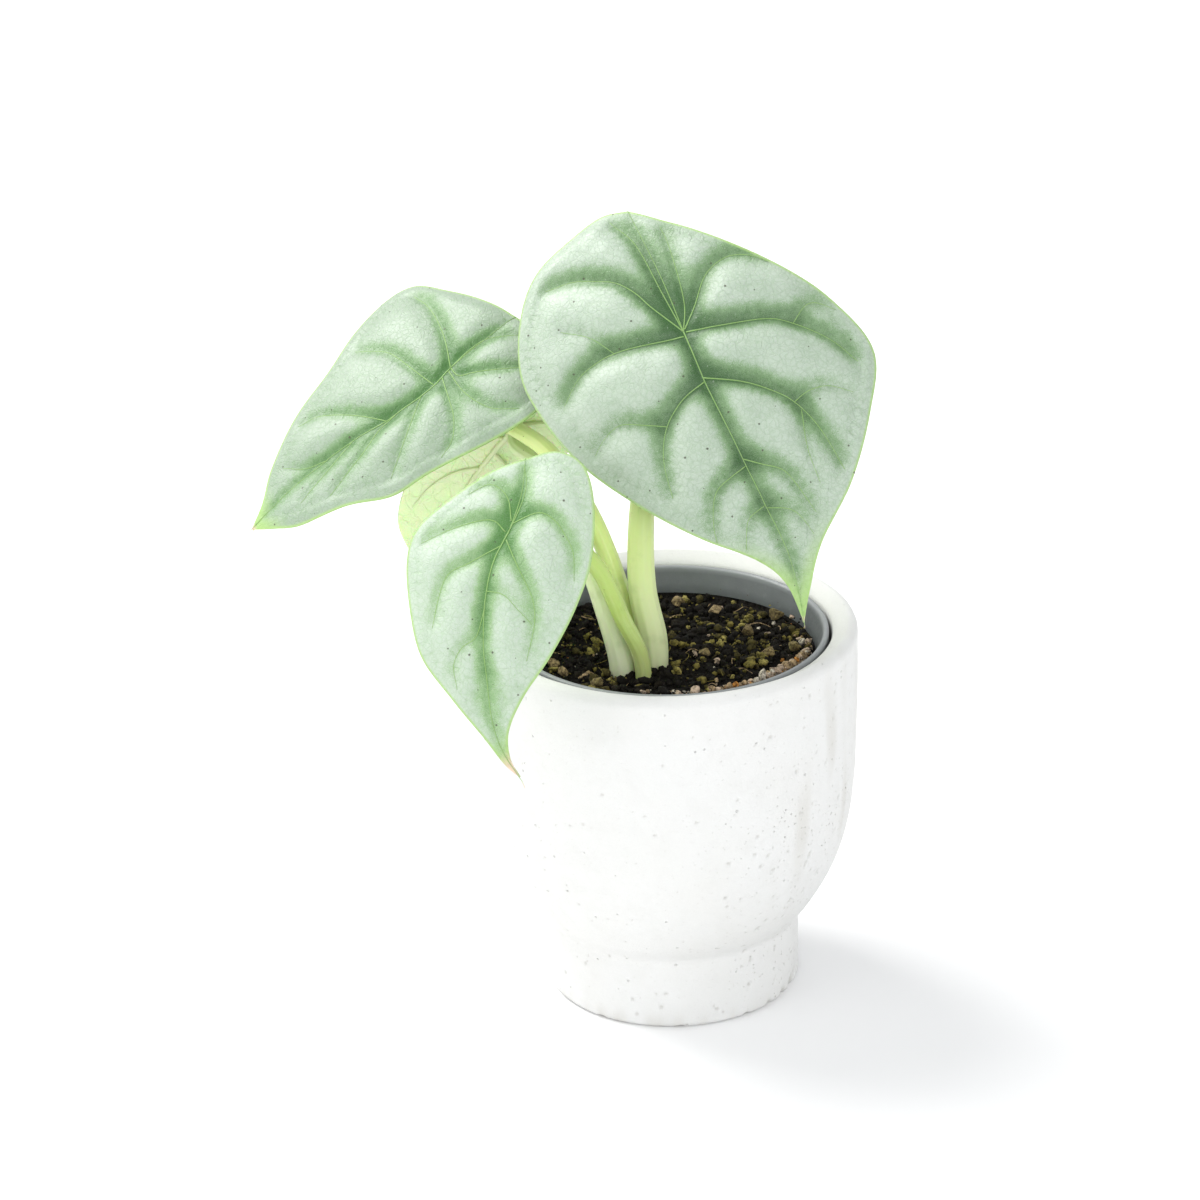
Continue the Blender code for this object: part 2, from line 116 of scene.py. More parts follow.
# %% [markdown]
# ## Curves through a few points
#
# A leaf's margin, a vein and a stalk are all smooth lines through a few chosen points. A Catmull-Rom
# curve passes through every point it is given, which makes it easy to steer. Walking it in equal
# steps then gives even spacing, so a mesh built on it has no bunched rows.

# %% Curve helpers
BLOCK = 4000  # how many points are measured at once, so that the arrays stay small


def smooth_curve(knots, per_span=12):
    """Catmull-Rom curve through knots of any dimension."""
    knots = np.asarray(knots, float)
    padded = np.vstack([2 * knots[0] - knots[1], knots, 2 * knots[-1] - knots[-2]])
    t = (np.arange(per_span) / per_span)[:, None]
    spans = []
    for i in range(1, len(padded) - 2):
        a, b, c, d = padded[i - 1:i + 3]
        spans.append(
            0.5 * (2 * b + (c - a) * t + (2 * a - 5 * b + 4 * c - d) * t ** 2
                   + (3 * b - a - 3 * c + d) * t ** 3)
        )
    return np.vstack([*spans, knots[-1:]])


def walk(curve, count):
    """The curve resampled to count points in equal steps, both ends kept."""
    steps = np.linalg.norm(np.diff(curve[:, :3], axis=0), axis=1)
    reached = np.concatenate([[0.0], np.cumsum(steps)])
    wanted = np.linspace(0.0, reached[-1], count)
    return np.column_stack([np.interp(wanted, reached, column) for column in curve.T])


def nearest(points, targets, extra=0.0):
    """For each point, the smallest distance to a target plus that target's own extra, and which one it is."""
    found, which = np.empty(len(points)), np.empty(len(points), int)
    for start in range(0, len(points), BLOCK):
        part = points[start:start + BLOCK]
        gaps = np.sqrt(((part[:, None, :] - targets[None, :, :]) ** 2).sum(axis=2)) + extra
        which[start:start + BLOCK] = gaps.argmin(axis=1)
        found[start:start + BLOCK] = gaps.min(axis=1)
    return found, which


def blurred(points, targets, weights, blur, step):
    """How much line runs near each point: about 1 on a lone line, more where lines meet, 0 far off."""
    found = np.empty(len(points))
    for start in range(0, len(points), BLOCK):
        part = points[start:start + BLOCK]
        gaps = ((part[:, None, :] - targets[None, :, :]) ** 2).sum(axis=2)
        found[start:start + BLOCK] = (weights * np.exp(-gaps / (2 * blur ** 2))).sum(axis=1)
    return found * step / (blur * math.sqrt(2 * math.pi))


def ease(values, low, high):
    """0 below low, 1 above high, and a soft S between."""
    t = np.clip((values - low) / (high - low), 0.0, 1.0)
    return t * t * (3 - 2 * t)


def ripple(points, scale, seed=0.0):
    """Smooth noise from -1 to 1 at each point, at a scale in millimetres."""
    grid = np.zeros((len(points), 3))
    grid[:, :points.shape[1]] = points
    grid = grid / scale + seed
    return np.array([noise.noise(Vector(spot)) for spot in grid])


arch = walk(smooth_curve([(0, 0), (1, 1), (2, 0)]), 5)
print("a curve through 3 points, walked in 5:", arch.round(2).tolist())

# %% [markdown]
# ## Shared shader groups
#
# Three effects turn up in many of the finishes, so each is built once as a node group:
#
# - **soft mottle** is a slow change of tone, which keeps a surface from looking printed
# - **scattered specks** are small round spots in random places, for bubbles, dust and leaf marks
# - **fine net** is a mesh of thin lines, for the smallest leaf veins
#
# The groups give out masks only. The colours and the shader stay in each material.

# %% Node helpers
def new_group(name, **numbers):
    """An empty shader group that takes a vector and some numbers and gives a mask, and its end nodes."""
    group = bpy.data.node_groups.new(name, "ShaderNodeTree")
    group.interface.new_socket("Vector", in_out="INPUT", socket_type="NodeSocketVector")
    for socket, value in numbers.items():
        made = group.interface.new_socket(socket, in_out="INPUT", socket_type="NodeSocketFloat")
        made.default_value = value
    group.interface.new_socket("Mask", in_out="OUTPUT", socket_type="NodeSocketFloat")
    return group, group.nodes.new("NodeGroupInput"), group.nodes.new("NodeGroupOutput")


def feed(group, source, target, *sockets):
    """Joins each named output of the source to the input of the same name."""
    for socket in sockets:
        group.links.new(source.outputs[socket], target.inputs[socket])


def node(tree, kind, **settings):
    """A node with its properties set, and its inputs set by 'in_' and the socket's number."""
    made = tree.nodes.new(kind)
    for key, value in settings.items():
        if key.startswith("in_"):
            made.inputs[int(key[3:])].default_value = value
        else:
            setattr(made, key, value)
    return made


def math_node(tree, operation, first, second=None, clamp=False):
    made = node(tree, "ShaderNodeMath", operation=operation, use_clamp=clamp)
    for i, value in enumerate((first, second)):
        if value is None:
            continue
        if isinstance(value, (int, float)):
            made.inputs[i].default_value = value
        else:
            tree.links.new(value, made.inputs[i])
    return made.outputs[0]


def times(tree, first, second):
    return math_node(tree, "MULTIPLY", first, second)


def soft_step(tree, value, low, high, start=0.0, stop=1.0):
    """start below low, stop above high, with a soft S between."""
    made = node(tree, "ShaderNodeMapRange", interpolation_type="SMOOTHSTEP",
                in_1=low, in_2=high, in_3=start, in_4=stop)
    tree.links.new(value, made.inputs[0])
    return made.outputs[0]


def noise_node(tree, vector, scale, detail=3.0, roughness=0.55):
    made = node(tree, "ShaderNodeTexNoise", in_2=scale, in_3=detail, in_4=roughness)
    tree.links.new(vector, made.inputs["Vector"])
    return made.outputs["Fac"]


print("node helpers ready, and", len(bpy.data.node_groups), "groups made with them yet")

# %% The soft mottle group
mottle_group, group_in, group_out = new_group("soft mottle", Scale=1.0, Contrast=1.0)
large = node(mottle_group, "ShaderNodeTexNoise", in_3=4.0, in_4=0.6)
feed(mottle_group, group_in, large, "Vector", "Scale")
centred = math_node(mottle_group, "SUBTRACT", large.outputs["Fac"], 0.5)
stretched = times(mottle_group, centred, group_in.outputs["Contrast"])
mask = math_node(mottle_group, "ADD", stretched, 0.5, clamp=True)
mottle_group.links.new(mask, group_out.inputs["Mask"])
print(mottle_group.name, len(mottle_group.nodes), "nodes")

# %% The scattered specks group
specks_group, group_in, group_out = new_group("scattered specks", Scale=1.0, Size=0.15, Share=0.3)
cells = node(specks_group, "ShaderNodeTexVoronoi", feature="F1")
feed(specks_group, group_in, cells, "Vector", "Scale")
pick = node(specks_group, "ShaderNodeSeparateColor")
specks_group.links.new(cells.outputs["Color"], pick.inputs[0])
chosen = math_node(specks_group, "LESS_THAN", pick.outputs[0], group_in.outputs["Share"])
uneven = math_node(specks_group, "ADD", pick.outputs[1], 0.35)
speck_size = times(specks_group, uneven, group_in.outputs["Size"])
inside = math_node(specks_group, "SUBTRACT", speck_size, cells.outputs["Distance"])
soft_edge = times(specks_group, speck_size, 0.45)
speck = math_node(specks_group, "DIVIDE", inside, soft_edge, clamp=True)
specks_group.links.new(times(specks_group, speck, chosen), group_out.inputs["Mask"])

# On a leaf or a stalk the pattern lies in a plane, so its copy works in two dimensions.
flat_specks_group = specks_group.copy()
flat_specks_group.name = "scattered specks, flat"
for part in flat_specks_group.nodes:
    if part.bl_idname == "ShaderNodeTexVoronoi":
        part.voronoi_dimensions = "2D"
print(specks_group.name, len(specks_group.nodes), "nodes")

# %% The fine net group
net_group, group_in, group_out = new_group("fine net", Scale=1.0, Width=0.06)
bend = node(net_group, "ShaderNodeTexNoise", in_2=0.35, in_3=2.0)
feed(net_group, group_in, bend, "Vector")
push = node(net_group, "ShaderNodeVectorMath", operation="SCALE")
net_group.links.new(bend.outputs["Color"], push.inputs[0])
push.inputs["Scale"].default_value = 2.4
bent = node(net_group, "ShaderNodeVectorMath", operation="ADD")
net_group.links.new(group_in.outputs["Vector"], bent.inputs[0])
net_group.links.new(push.outputs[0], bent.inputs[1])
web = node(net_group, "ShaderNodeTexVoronoi", feature="DISTANCE_TO_EDGE")
net_group.links.new(bent.outputs[0], web.inputs["Vector"])
feed(net_group, group_in, web, "Scale")
across = math_node(net_group, "DIVIDE", web.outputs["Distance"], group_in.outputs["Width"], clamp=True)
net_group.links.new(math_node(net_group, "SUBTRACT", 1.0, across, clamp=True), group_out.inputs["Mask"])
print("shader groups:", [group.name for group in bpy.data.node_groups])

# %% [markdown]
# ## One way to make every finish
#
# Concrete, plastic, leaf skin and peat all come from one shader, the Principled BSDF, with patterns
# laid over each other. So one class holds the steps that come back in each of them: read a value that
# is stored on the mesh, make noise where the piece's own millimetres are, mix two colours by a mask,
# and stack bumps. A finish is then a short list of steps that can be read from the base coat upwards.


# %% Material helpers
class Finish:
    """A Principled material with short calls for the steps that every finish here repeats."""

    def __init__(self, name, roughness=0.5, specular=0.5, coat=0.0, subsurface=0.0, sheen=0.0):
        self.material = bpy.data.materials.new(name)
        self.material.use_nodes = True
        self.tree = self.material.node_tree
        self.shader = self.tree.nodes["Principled BSDF"]
        self.shader.inputs["Roughness"].default_value = roughness
        self.shader.inputs["Specular IOR Level"].default_value = specular
        self.shader.inputs["Coat Weight"].default_value = coat
        self.shader.inputs["Coat Roughness"].default_value = 0.3
        self.shader.inputs["Sheen Weight"].default_value = sheen
        self.shader.inputs["Subsurface Weight"].default_value = subsurface
        self.shader.inputs["Subsurface Radius"].default_value = (0.4, 1.0, 0.25)
        self.shader.inputs["Subsurface Scale"].default_value = 0.0015

    def number(self, name):
        """A number stored on the mesh's points."""
        return node(self.tree, "ShaderNodeAttribute", attribute_name=name).outputs["Fac"]

    def place(self, name):
        """A position stored on the mesh's points, in millimetres, which the patterns then follow."""
        self.spot = node(self.tree, "ShaderNodeAttribute", attribute_name=name).outputs["Vector"]

    def noise(self, scale, detail=3.0, roughness=0.55):
        return noise_node(self.tree, self.spot, scale, detail, roughness)

    def step(self, value, low, high, start=0.0, stop=1.0):
        return soft_step(self.tree, value, low, high, start, stop)

    def times(self, first, second):
        return times(self.tree, first, second)

    def sum(self, first, second, clamp=False):
        return math_node(self.tree, "ADD", first, second, clamp)

    def centred(self, value):
        """Noise moved down by a half, so that it goes both ways from 0."""
        return math_node(self.tree, "SUBTRACT", value, 0.5)

    def ramp(self, value, stops):
        """Colour in steps: each (position, colour) pair holds until the next."""
        made = node(self.tree, "ShaderNodeValToRGB")
        self.tree.links.new(value, made.inputs[0])
        made.color_ramp.interpolation = "CONSTANT"
        elements = made.color_ramp.elements
        for position, colour in stops:
            stop = elements.new(position) if position else elements[0]
            stop.color = (*colour, 1.0)
        elements.remove(elements[-1])
        return made.outputs[0]

    def group(self, tree, **values):
        """The mask of a shared group at the stored position."""
        made = node(self.tree, "ShaderNodeGroup", node_tree=tree)
        self.tree.links.new(self.spot, made.inputs["Vector"])
        for key, value in values.items():
            made.inputs[key].default_value = value
        return made.outputs["Mask"]

    def mix(self, mask, below, above):
        """Colour that goes from below to above as the mask rises."""
        made = node(self.tree, "ShaderNodeMix", data_type="RGBA")
        self.tree.links.new(mask, made.inputs[0])
        for socket, colour in ((6, below), (7, above)):
            if isinstance(colour, tuple):
                made.inputs[socket].default_value = (*colour, 1.0)
            else:
                self.tree.links.new(colour, made.inputs[socket])
        return made.outputs[2]

    def colour(self, value):
        self.tree.links.new(value, self.shader.inputs["Base Color"])

    def roughness(self, value):
        self.tree.links.new(value, self.shader.inputs["Roughness"])

    def bump(self, *layers):
        """Bumps stacked from (height, how tall in millimetres) pairs."""
        before = None
        for height, tall in layers:
            made = node(self.tree, "ShaderNodeBump", in_0=1.0)
            made.inputs["Distance"].default_value = tall * MM
            self.tree.links.new(height, made.inputs["Height"])
            if before is not None:
                self.tree.links.new(before, made.inputs["Normal"])
            before = made.outputs[0]
        self.tree.links.new(before, self.shader.inputs["Normal"])


print("a finish can:", [step for step in vars(Finish) if not step.startswith("_")])

# %% [markdown]
# ## The leaves: where each one is
#
# Each blade is described flat, as a gardener would press it: *u* runs across and *v* runs from the
# hub, where the stalk joins, to the drip tip. A shield-shaped leaf carries on behind its hub, so v
# starts below zero. The flat leaf is then bent along its length and its width and turned to face
# where the real one faces. The numbers are the same as those of the plain blades in the model.

# %% Leaf shapes
LEAVES = {
    "leaf_blade_large": dict(
        hub=(4.6, 0.0, 170.0), tip_direction=(0.333, -0.624, -0.707), face=(-0.067, -0.763, 0.643),
        length=76.0, back=38.0, half_width=42.0,
        droop_tip=25.0, droop_back=25.0, arch_right=20.0, arch_left=35.0,
        left=[
            (-1.0, -36.2), (-7.5, -38.0), (-17.0, -36.0), (-28.5, -32.0), (-36.5, -22.5),
            (-41.5, -9.0), (-40.5, 4.0), (-35.0, 20.5), (-25.0, 36.0), (-14.5, 48.0),
            (-4.0, 57.5), (0.5, 65.0), (1.3, 75.1),
        ],
        right=[
            (-1.0, -36.2), (5.0, -30.5), (12.0, -24.0), (25.0, -10.5), (36.0, 4.5), (41.0, 20.0),
            (34.5, 34.0), (24.0, 48.0), (12.0, 59.0), (5.2, 68.5), (1.3, 75.1),
        ],
        midrib=[
            (-1.0, -36.2), (0.0, -15.0), (0.0, 0.0), (0.2, 14.5), (1.4, 30.0), (2.6, 45.0),
            (3.6, 58.0), (2.6, 68.0), (1.3, 75.1),
        ],
    ),
    "leaf_blade_left": dict(
        hub=(-51.4, 22.0, 154.1), tip_direction=(-0.762, -0.421, -0.492), face=(-0.242, -0.520, 0.819),
        length=62.0, back=24.0, half_width=35.0,
        droop_tip=25.0, droop_back=15.0, arch_right=15.0, arch_left=25.0,
        left=[
            (0.0, -20.8), (-8.0, -19.5), (-22.0, -15.5), (-32.5, -11.5), (-35.5, -3.0),
            (-32.5, 9.0), (-27.5, 21.5), (-24.5, 35.5), (-18.5, 48.0), (-13.5, 55.5), (-11.0, 62.2),
        ],
        right=[
            (0.0, -20.8), (8.0, -22.0), (17.0, -21.5), (24.0, -16.5), (26.0, -5.0), (24.0, 8.0),
            (19.0, 23.0), (16.0, 33.0), (8.0, 42.0), (1.0, 53.0), (-5.3, 58.2), (-11.0, 62.2),
        ],
        midrib=[
            (0.0, -20.8), (0.0, -8.0), (0.0, 0.0), (1.1, 8.0), (-0.6, 18.7), (-4.2, 30.2),
            (-7.0, 41.0), (-9.2, 51.0), (-11.0, 62.2),
        ],
    ),
    "leaf_blade_front": dict(
        hub=(-36.9, -34.0, 134.6), tip_direction=(0.017, -0.714, -0.700), face=(-0.123, -0.696, 0.707),
        length=58.0, back=22.0, half_width=28.0,
        droop_tip=25.0, droop_back=20.0, arch_right=20.0, arch_left=25.0,
        left=[
            (4.0, -18.6), (-3.4, -15.8), (-12.8, -10.4), (-22.3, -3.9), (-25.5, 4.5), (-25.0, 18.0),
            (-22.5, 29.0), (-15.5, 39.5), (-8.5, 49.0), (-4.5, 55.0), (-1.2, 58.3),
        ],
        right=[
            (4.0, -18.6), (11.5, -20.5), (17.5, -16.5), (19.8, -6.0), (18.8, 8.5), (14.7, 20.0),
            (8.3, 31.0), (1.3, 40.0), (-2.7, 47.5), (-3.0, 53.5), (-1.2, 58.3),
        ],
        midrib=[
            (4.0, -18.6), (3.0, -9.0), (0.0, 0.0), (-4.0, 7.5), (-6.5, 17.0), (-7.4, 27.0),
            (-7.1, 36.0), (-6.5, 45.0), (-4.6, 52.0), (-1.2, 58.3),
        ],
    ),
    "leaf_blade_back": dict(
        hub=(-35.2, 21.0, 139.3), tip_direction=(-0.535, 0.482, -0.694), face=(0.074, 0.845, 0.530),
        length=48.0, back=14.0, half_width=18.0,
        droop_tip=45.0, droop_back=10.0, arch_right=16.0, arch_left=16.0,
        left=[
            (0.0, -9.0), (-6.0, -9.5), (-12.5, -6.0), (-15.5, 3.0), (-16.0, 16.0), (-13.5, 28.0),
            (-8.5, 38.0), (-3.0, 46.0), (0.0, 51.0),
        ],
        right=[
            (0.0, -9.0), (4.0, -8.0), (6.5, -3.5), (9.0, 6.0), (13.5, 18.0), (14.8, 28.5),
            (11.5, 40.0), (4.0, 47.0), (0.0, 51.0),
        ],
        midrib=[(0.0, -9.0), (0.0, 0.0), (0.0, 24.0), (0.0, 51.0)],
    ),
}
for leaf_name, leaf in LEAVES.items():
    print(leaf_name, leaf["length"] + leaf["back"], "mm long,", 2 * leaf["half_width"], "mm wide")

# %% [markdown]
# ## The leaves: their veins
#
# The look of this plant is its veins. A few thick ones leave the hub and the midrib, curve towards
# the margin and end in a thin vein that runs along it. Each is given by its first strength, its last
# strength and a few points. The strength sets how deep its crease is, how wide its dark band is and
# how thick its rib is on the underside.

# %% Vein routes
VEINS = {
    "leaf_blade_large": [
        (0.9, 0.5, [(0, 0), (-1.3, -11.7), (-2.6, -26.4), (-6, -35)]),
        (0.8, 0.4, [(0, 0), (2.9, -7.4), (4.6, -22), (4.5, -28)]),
        (0.9, 0.5, [(0.5, -0.5), (4.8, -5), (9.1, -10.6), (13, -13.3), (17, -14.4), (21.5, -12.7),
                    (25, -9.5)]),
        (1.0, 0.6, [(0, 0), (-4.8, -8.3), (-7.2, -13.7), (-10.6, -18.5), (-14.9, -21.5), (-20, -24.5),
                    (-27, -26.5)]),
        (1.0, 0.6, [(0.5, 0.3), (7.3, 1.8), (18.7, 4), (24.3, 6.7), (29.2, 11), (33.3, 15.7), (36.4, 21.3)]),
        (0.6, 0.35, [(25.3, 7.2), (29.3, 4.2), (32.3, 4.3), (36, 7.5)]),
        (1.0, 0.6, [(-0.4, 1.2), (-6, 0.6), (-17, -1.5), (-22.6, -1.2), (-28, 0.3), (-33.7, 4.8)]),
        (0.5, 0.2, [(-17.4, -1.5), (-21.3, -7.7), (-27.1, -12.7)]),
        (1.0, 0.5, [(0.2, 12.5), (8.6, 17), (14.1, 21.3), (18.2, 25.7), (20.9, 31.8), (22.5, 39),
                    (23.3, 45)]),
        (0.6, 0.3, [(18.2, 25.7), (22.2, 24.4), (27.2, 25.0), (32.1, 28.3)]),
        (0.5, 0.25, [(19.1, 28), (17.4, 34.2), (16.6, 39), (16.5, 46)]),
        (1.0, 0.5, [(0.1, 13.5), (-5.2, 15.3), (-8.9, 17.5), (-12.3, 20.5), (-14.7, 24.6),
                    (-16.3, 29.8), (-17, 37)]),
        (0.7, 0.35, [(-12.3, 20.3), (-17.2, 17.9), (-22.3, 15.6), (-26.8, 16.9), (-31, 19.8)]),
        (0.8, 0.4, [(1.6, 34), (5.7, 37.1), (9.1, 39.5), (10.8, 42.7), (13.2, 52)]),
        (0.8, 0.4, [(1.6, 36), (-3, 37.4), (-6.5, 38.9), (-8.6, 41.7), (-10.5, 46.7), (-11, 50.5)]),
        (0.6, 0.3, [(2.7, 46.2), (-2, 47.8), (-3.8, 50.7), (-5.3, 54.5)]),
        (0.6, 0.3, [(3.0, 47), (7.5, 49), (9.6, 52), (10.8, 56.5)]),
        (0.28, 0.2, [(-27, -26.5), (-36.0, -15), (-37.7, -4), (-34.5, 5.5), (-33, 13), (-29.5, 24.5),
                     (-18.5, 38.3), (-11, 50), (-5.0, 55.3), (0.2, 63)]),
        (0.28, 0.2, [(4.5, -28), (14, -18.5), (25, -9.5), (33.4, 3), (36.4, 21.3), (32.2, 30.7), (23.3, 43.5),
                     (13.6, 53), (9, 59), (4.5, 66)]),
    ],
    "leaf_blade_left": [
        (1.0, 0.5, [(0, 0), (-7.2, -4.1), (-15, -7.1), (-22.3, -8.8), (-28.5, -9)]),
        (0.9, 0.4, [(0, 0), (-0.4, -6.3), (0, -11), (2.4, -14.4), (5.7, -18)]),
        (0.9, 0.5, [(0.2, 0), (3.6, 0.2), (5.9, -2.6), (9.2, -6.6), (12.8, -10.9), (17, -16)]),
        (0.8, 0.4, [(0.6, 1), (9, 2.4), (17, 1), (22.5, -4)]),
        (0.9, 0.5, [(0.8, 6), (-5.4, 6.6), (-15.9, 7.2), (-20.9, 9.4), (-26, 12.5)]),
        (0.8, 0.4, [(-1.0, 20.3), (-8.2, 24.1), (-14.5, 28.2), (-18.6, 31.4), (-21, 36)]),
        (0.5, 0.3, [(-6.3, 37.5), (-9.5, 42.4), (-15.0, 46)]),
        (0.9, 0.4, [(0.8, 3.3), (8.1, 6.5), (12.5, 8.8), (16.6, 12.7), (18.5, 18)]),
        (0.7, 0.35, [(1.1, 10.5), (5.6, 17.5), (8.9, 23.2), (12.6, 30)]),
        (0.8, 0.35, [(-0.3, 17.5), (-0.5, 22.6), (1.2, 29.4), (1.8, 35.1), (2.6, 43)]),
        (0.6, 0.3, [(-4, 29.5), (-3.3, 39.3), (-2.9, 49)]),
        (0.25, 0.18, [(-22.3, -11.8), (-30.5, -7.5), (-31.7, -1), (-29, 8), (-24.3, 20.5), (-21, 35),
                      (-15.5, 46.5), (-11.5, 56)]),
        (0.25, 0.18, [(5.7, -18), (16, -17.6), (21.5, -12.5), (22.5, -4), (20.3, 7), (15.7, 22), (12.5, 31),
                     (4.5, 41), (-2.5, 51), (-8.5, 58)]),
    ],
    "leaf_blade_front": [
        (0.9, 0.4, [(0, 0), (3.1, -6.8), (4.2, -11.7), (3.8, -16)]),
        (0.9, 0.4, [(0.4, -2.2), (-0.1, -7.7), (-2.3, -11.0), (-5, -12.0), (-9.4, -10)]),
        (0.9, 0.4, [(-1.0, 0.5), (-4.5, -2.8), (-13.4, -1.8), (-21.5, 0.5)]),
        (0.8, 0.4, [(-2.2, 3.8), (-9.8, 7.4), (-14.9, 9.4), (-17.5, 14.6), (-19.5, 22)]),
        (0.6, 0.3, [(-6.7, 18.5), (-9, 25.1), (-12.4, 27.4), (-14.7, 31.4), (-14.2, 37)]),
        (0.9, 0.4, [(0.5, -1.5), (6.7, -3.6), (10.4, -1.6), (12.9, 2.5), (14.6, 7.1), (14.4, 14)]),
        (0.9, 0.35, [(-0.9, 2.5), (1.5, 9.2), (3.4, 13.8), (4.8, 18.2), (4.8, 23.6), (2.5, 32)]),
        (0.5, 0.3, [(-6.2, 14.5), (-2, 16), (1, 19.6), (4.3, 23.6)]),
        (0.4, 0.25, [(-7.3, 31), (-9, 37), (-9.5, 43)]),
        (0.4, 0.25, [(-7.1, 33), (-4, 37), (-3.0, 43)]),
        (0.25, 0.18, [(-9.4, -9.5), (-19.5, -2), (-22.2, 5.5), (-21.8, 17.5), (-19.5, 28), (-13, 38),
                      (-7.5, 47)]),
        (0.25, 0.18, [(3.8, -16), (11, -17.3), (15.2, -14), (16.9, -5.5), (15.8, 7.5), (12, 18.5),
                      (6, 29), (-1, 39), (-4.5, 47)]),
    ],
    "leaf_blade_back": [
        (0.8, 0.4, [(0, 0), (-5, -5), (-10.5, -5)]),
        (0.6, 0.3, [(0, 0), (2.5, -3), (4.5, -5)]),
        (0.8, 0.4, [(0, 3), (-6, 5), (-11, 10), (-13.5, 18)]),
        (0.7, 0.4, [(0, 12), (-6, 15), (-10, 21), (-11.5, 28)]),
        (0.6, 0.3, [(0, 24), (-4.5, 27), (-7.5, 33), (-7.5, 38)]),
        (0.7, 0.4, [(0, 6), (4, 9), (8, 15), (11, 22)]),
        (0.6, 0.3, [(0, 18), (5, 22), (8.5, 28), (10, 35)]),
        (0.5, 0.3, [(0, 30), (3, 33), (5, 38), (5, 43)]),
    ],
}

# How much each leaf puffs up between its veins and how wide its dark bands are, both in mm.
QUILTING = {
    "leaf_blade_large": (3.1, 2.1),
    "leaf_blade_left": (2.1, 1.8),
    "leaf_blade_front": (1.8, 1.7),
    "leaf_blade_back": (0.8, 1.2),
}
BLADE_THICKNESS, EDGE_THICKNESS = 0.55, 0.34
VEIN_STEP = 0.45
WEAKNESS_AS_DISTANCE = 3.2  # how many mm further away a vein with no strength counts
FULLNESS = 1.3  # how quickly overlapping creases and bands fill up
BROAD_CREASE, TIGHT_CREASE = 2.5, 0.75


def vein_lines(leaf_name):
    """Every vein as (points, strengths), the midrib's two halves among them."""
    leaf = LEAVES[leaf_name]
    ribs = [np.asarray(spot) for spot in leaf["midrib"]]
    hub_at = min(range(len(ribs)), key=lambda i: np.abs(ribs[i]).sum())
    lines = [(1.0, 0.45, ribs[hub_at:]), (0.7, 0.3, ribs[hub_at::-1])]
    found = []
    for first, last, knots in [*lines, *VEINS[leaf_name]]:
        curve = smooth_curve(knots)
        length = np.linalg.norm(np.diff(curve, axis=0), axis=1).sum()
        points = walk(curve, max(4, int(length / VEIN_STEP)))
        found.append((points, np.linspace(first, last, len(points))))
    return found


for leaf_name in LEAVES:
    total = sum(len(points) for points, _ in vein_lines(leaf_name)) * VEIN_STEP
    print(leaf_name, f"{len(vein_lines(leaf_name))} veins, {total:.0f} mm in all")

# %% [markdown]
# ## The leaves: bending and quilting
#
# The blade puffs up between its veins like a quilt, because it grows faster than they do. So the
# relief depends on how much vein runs near each point: a crease on the vein, a steep side, and a soft
# top. A weak vein adds less, which makes its crease shallow. Adding up all the veins keeps every
# crease smooth where two of them meet, and the distance to the nearest one alone would not.

# %% Leaf surface functions
def unit(vector):
    return np.asarray(vector, float) / np.linalg.norm(vector)


def bent_blade(leaf, spots):
    """The smooth middle surface at (u, v) spots, and the direction out of its upper face."""
    face = unit(leaf["face"])
    along = np.asarray(leaf["tip_direction"], float)
    along = unit(along - face * (along @ face))
    right = np.cross(face, along)
    u, v = spots[:, 0], spots[:, 1]
    bend = np.where(
        v >= 0,
        math.radians(leaf["droop_tip"]) / leaf["length"],
        math.radians(leaf["droop_back"]) / leaf["back"],
    )
    turn = (bend * v)[:, None]
    bend = bend[:, None]
    centre = along * (np.sin(turn) / bend) - face * ((1 - np.cos(turn)) / bend)
    curl = np.where(
        u >= 0,
        math.radians(leaf["arch_right"]) / leaf["half_width"],
        math.radians(leaf["arch_left"]) / leaf["half_width"],
    )
    roll = (curl * u)[:, None]
    curl = curl[:, None]
    up = face * np.cos(turn) + along * np.sin(turn)
    across = right * (np.sin(roll) / curl) - up * ((1 - np.cos(roll)) / curl)
    out = up * np.cos(roll) + right * np.sin(roll)
    return np.asarray(leaf["hub"]) + centre + across, out


def margin_points(leaf):
    """The outline as closely spaced points."""
    sides = [walk(smooth_curve(leaf[part]), 260) for part in ("left", "right")]
    return np.vstack(sides)


def leaf_fields(leaf_name, spots):
    """At (u, v) spots: distance to vein and margin, place along the vein, relief and dark band."""
    lines = vein_lines(leaf_name)
    samples = np.vstack([points for points, _ in lines])
    strengths = np.concatenate([strength for _, strength in lines])
    vein, which = nearest(spots, samples, (1 - strengths) * WEAKNESS_AS_DISTANCE)
    edge, _ = nearest(spots, margin_points(LEAVES[leaf_name]))
    puff, dark_width = QUILTING[leaf_name]
    broad, tight = (
        1 - np.exp(-FULLNESS * blurred(spots, samples, strengths, width, VEIN_STEP))
        for width in (BROAD_CREASE, TIGHT_CREASE)
    )
    uneven = ripple(spots, 9.0, 4.2) * 0.35 + ripple(spots, 3.1, 1.7) * 0.09
    height = puff * (0.45 - 0.85 * broad - 0.36 * tight) + uneven * (1 - broad) * puff * 0.40
    height *= ease(edge, -0.5, 4.5)
    height += 0.35 * np.exp(-(edge / 1.6) ** 2) * ripple(spots, 14.0, 9.0)
    # The dark band is shifted a little to the back of its vein, which paints shade on that side of the
    # crease, so the panel on the tip side starts crisply.
    midrib = np.asarray(LEAVES[leaf_name]["midrib"], float)
    shade_offset = unit(midrib[-1] - midrib[0]) * 0.5 * dark_width
    darkness = blurred(spots + shade_offset, samples, strengths ** 1.5, dark_width, VEIN_STEP)
    band = 1 - np.exp(-FULLNESS * darkness)
    return {"vein": vein, "along": which * VEIN_STEP, "edge": edge, "band": band, "height": height}


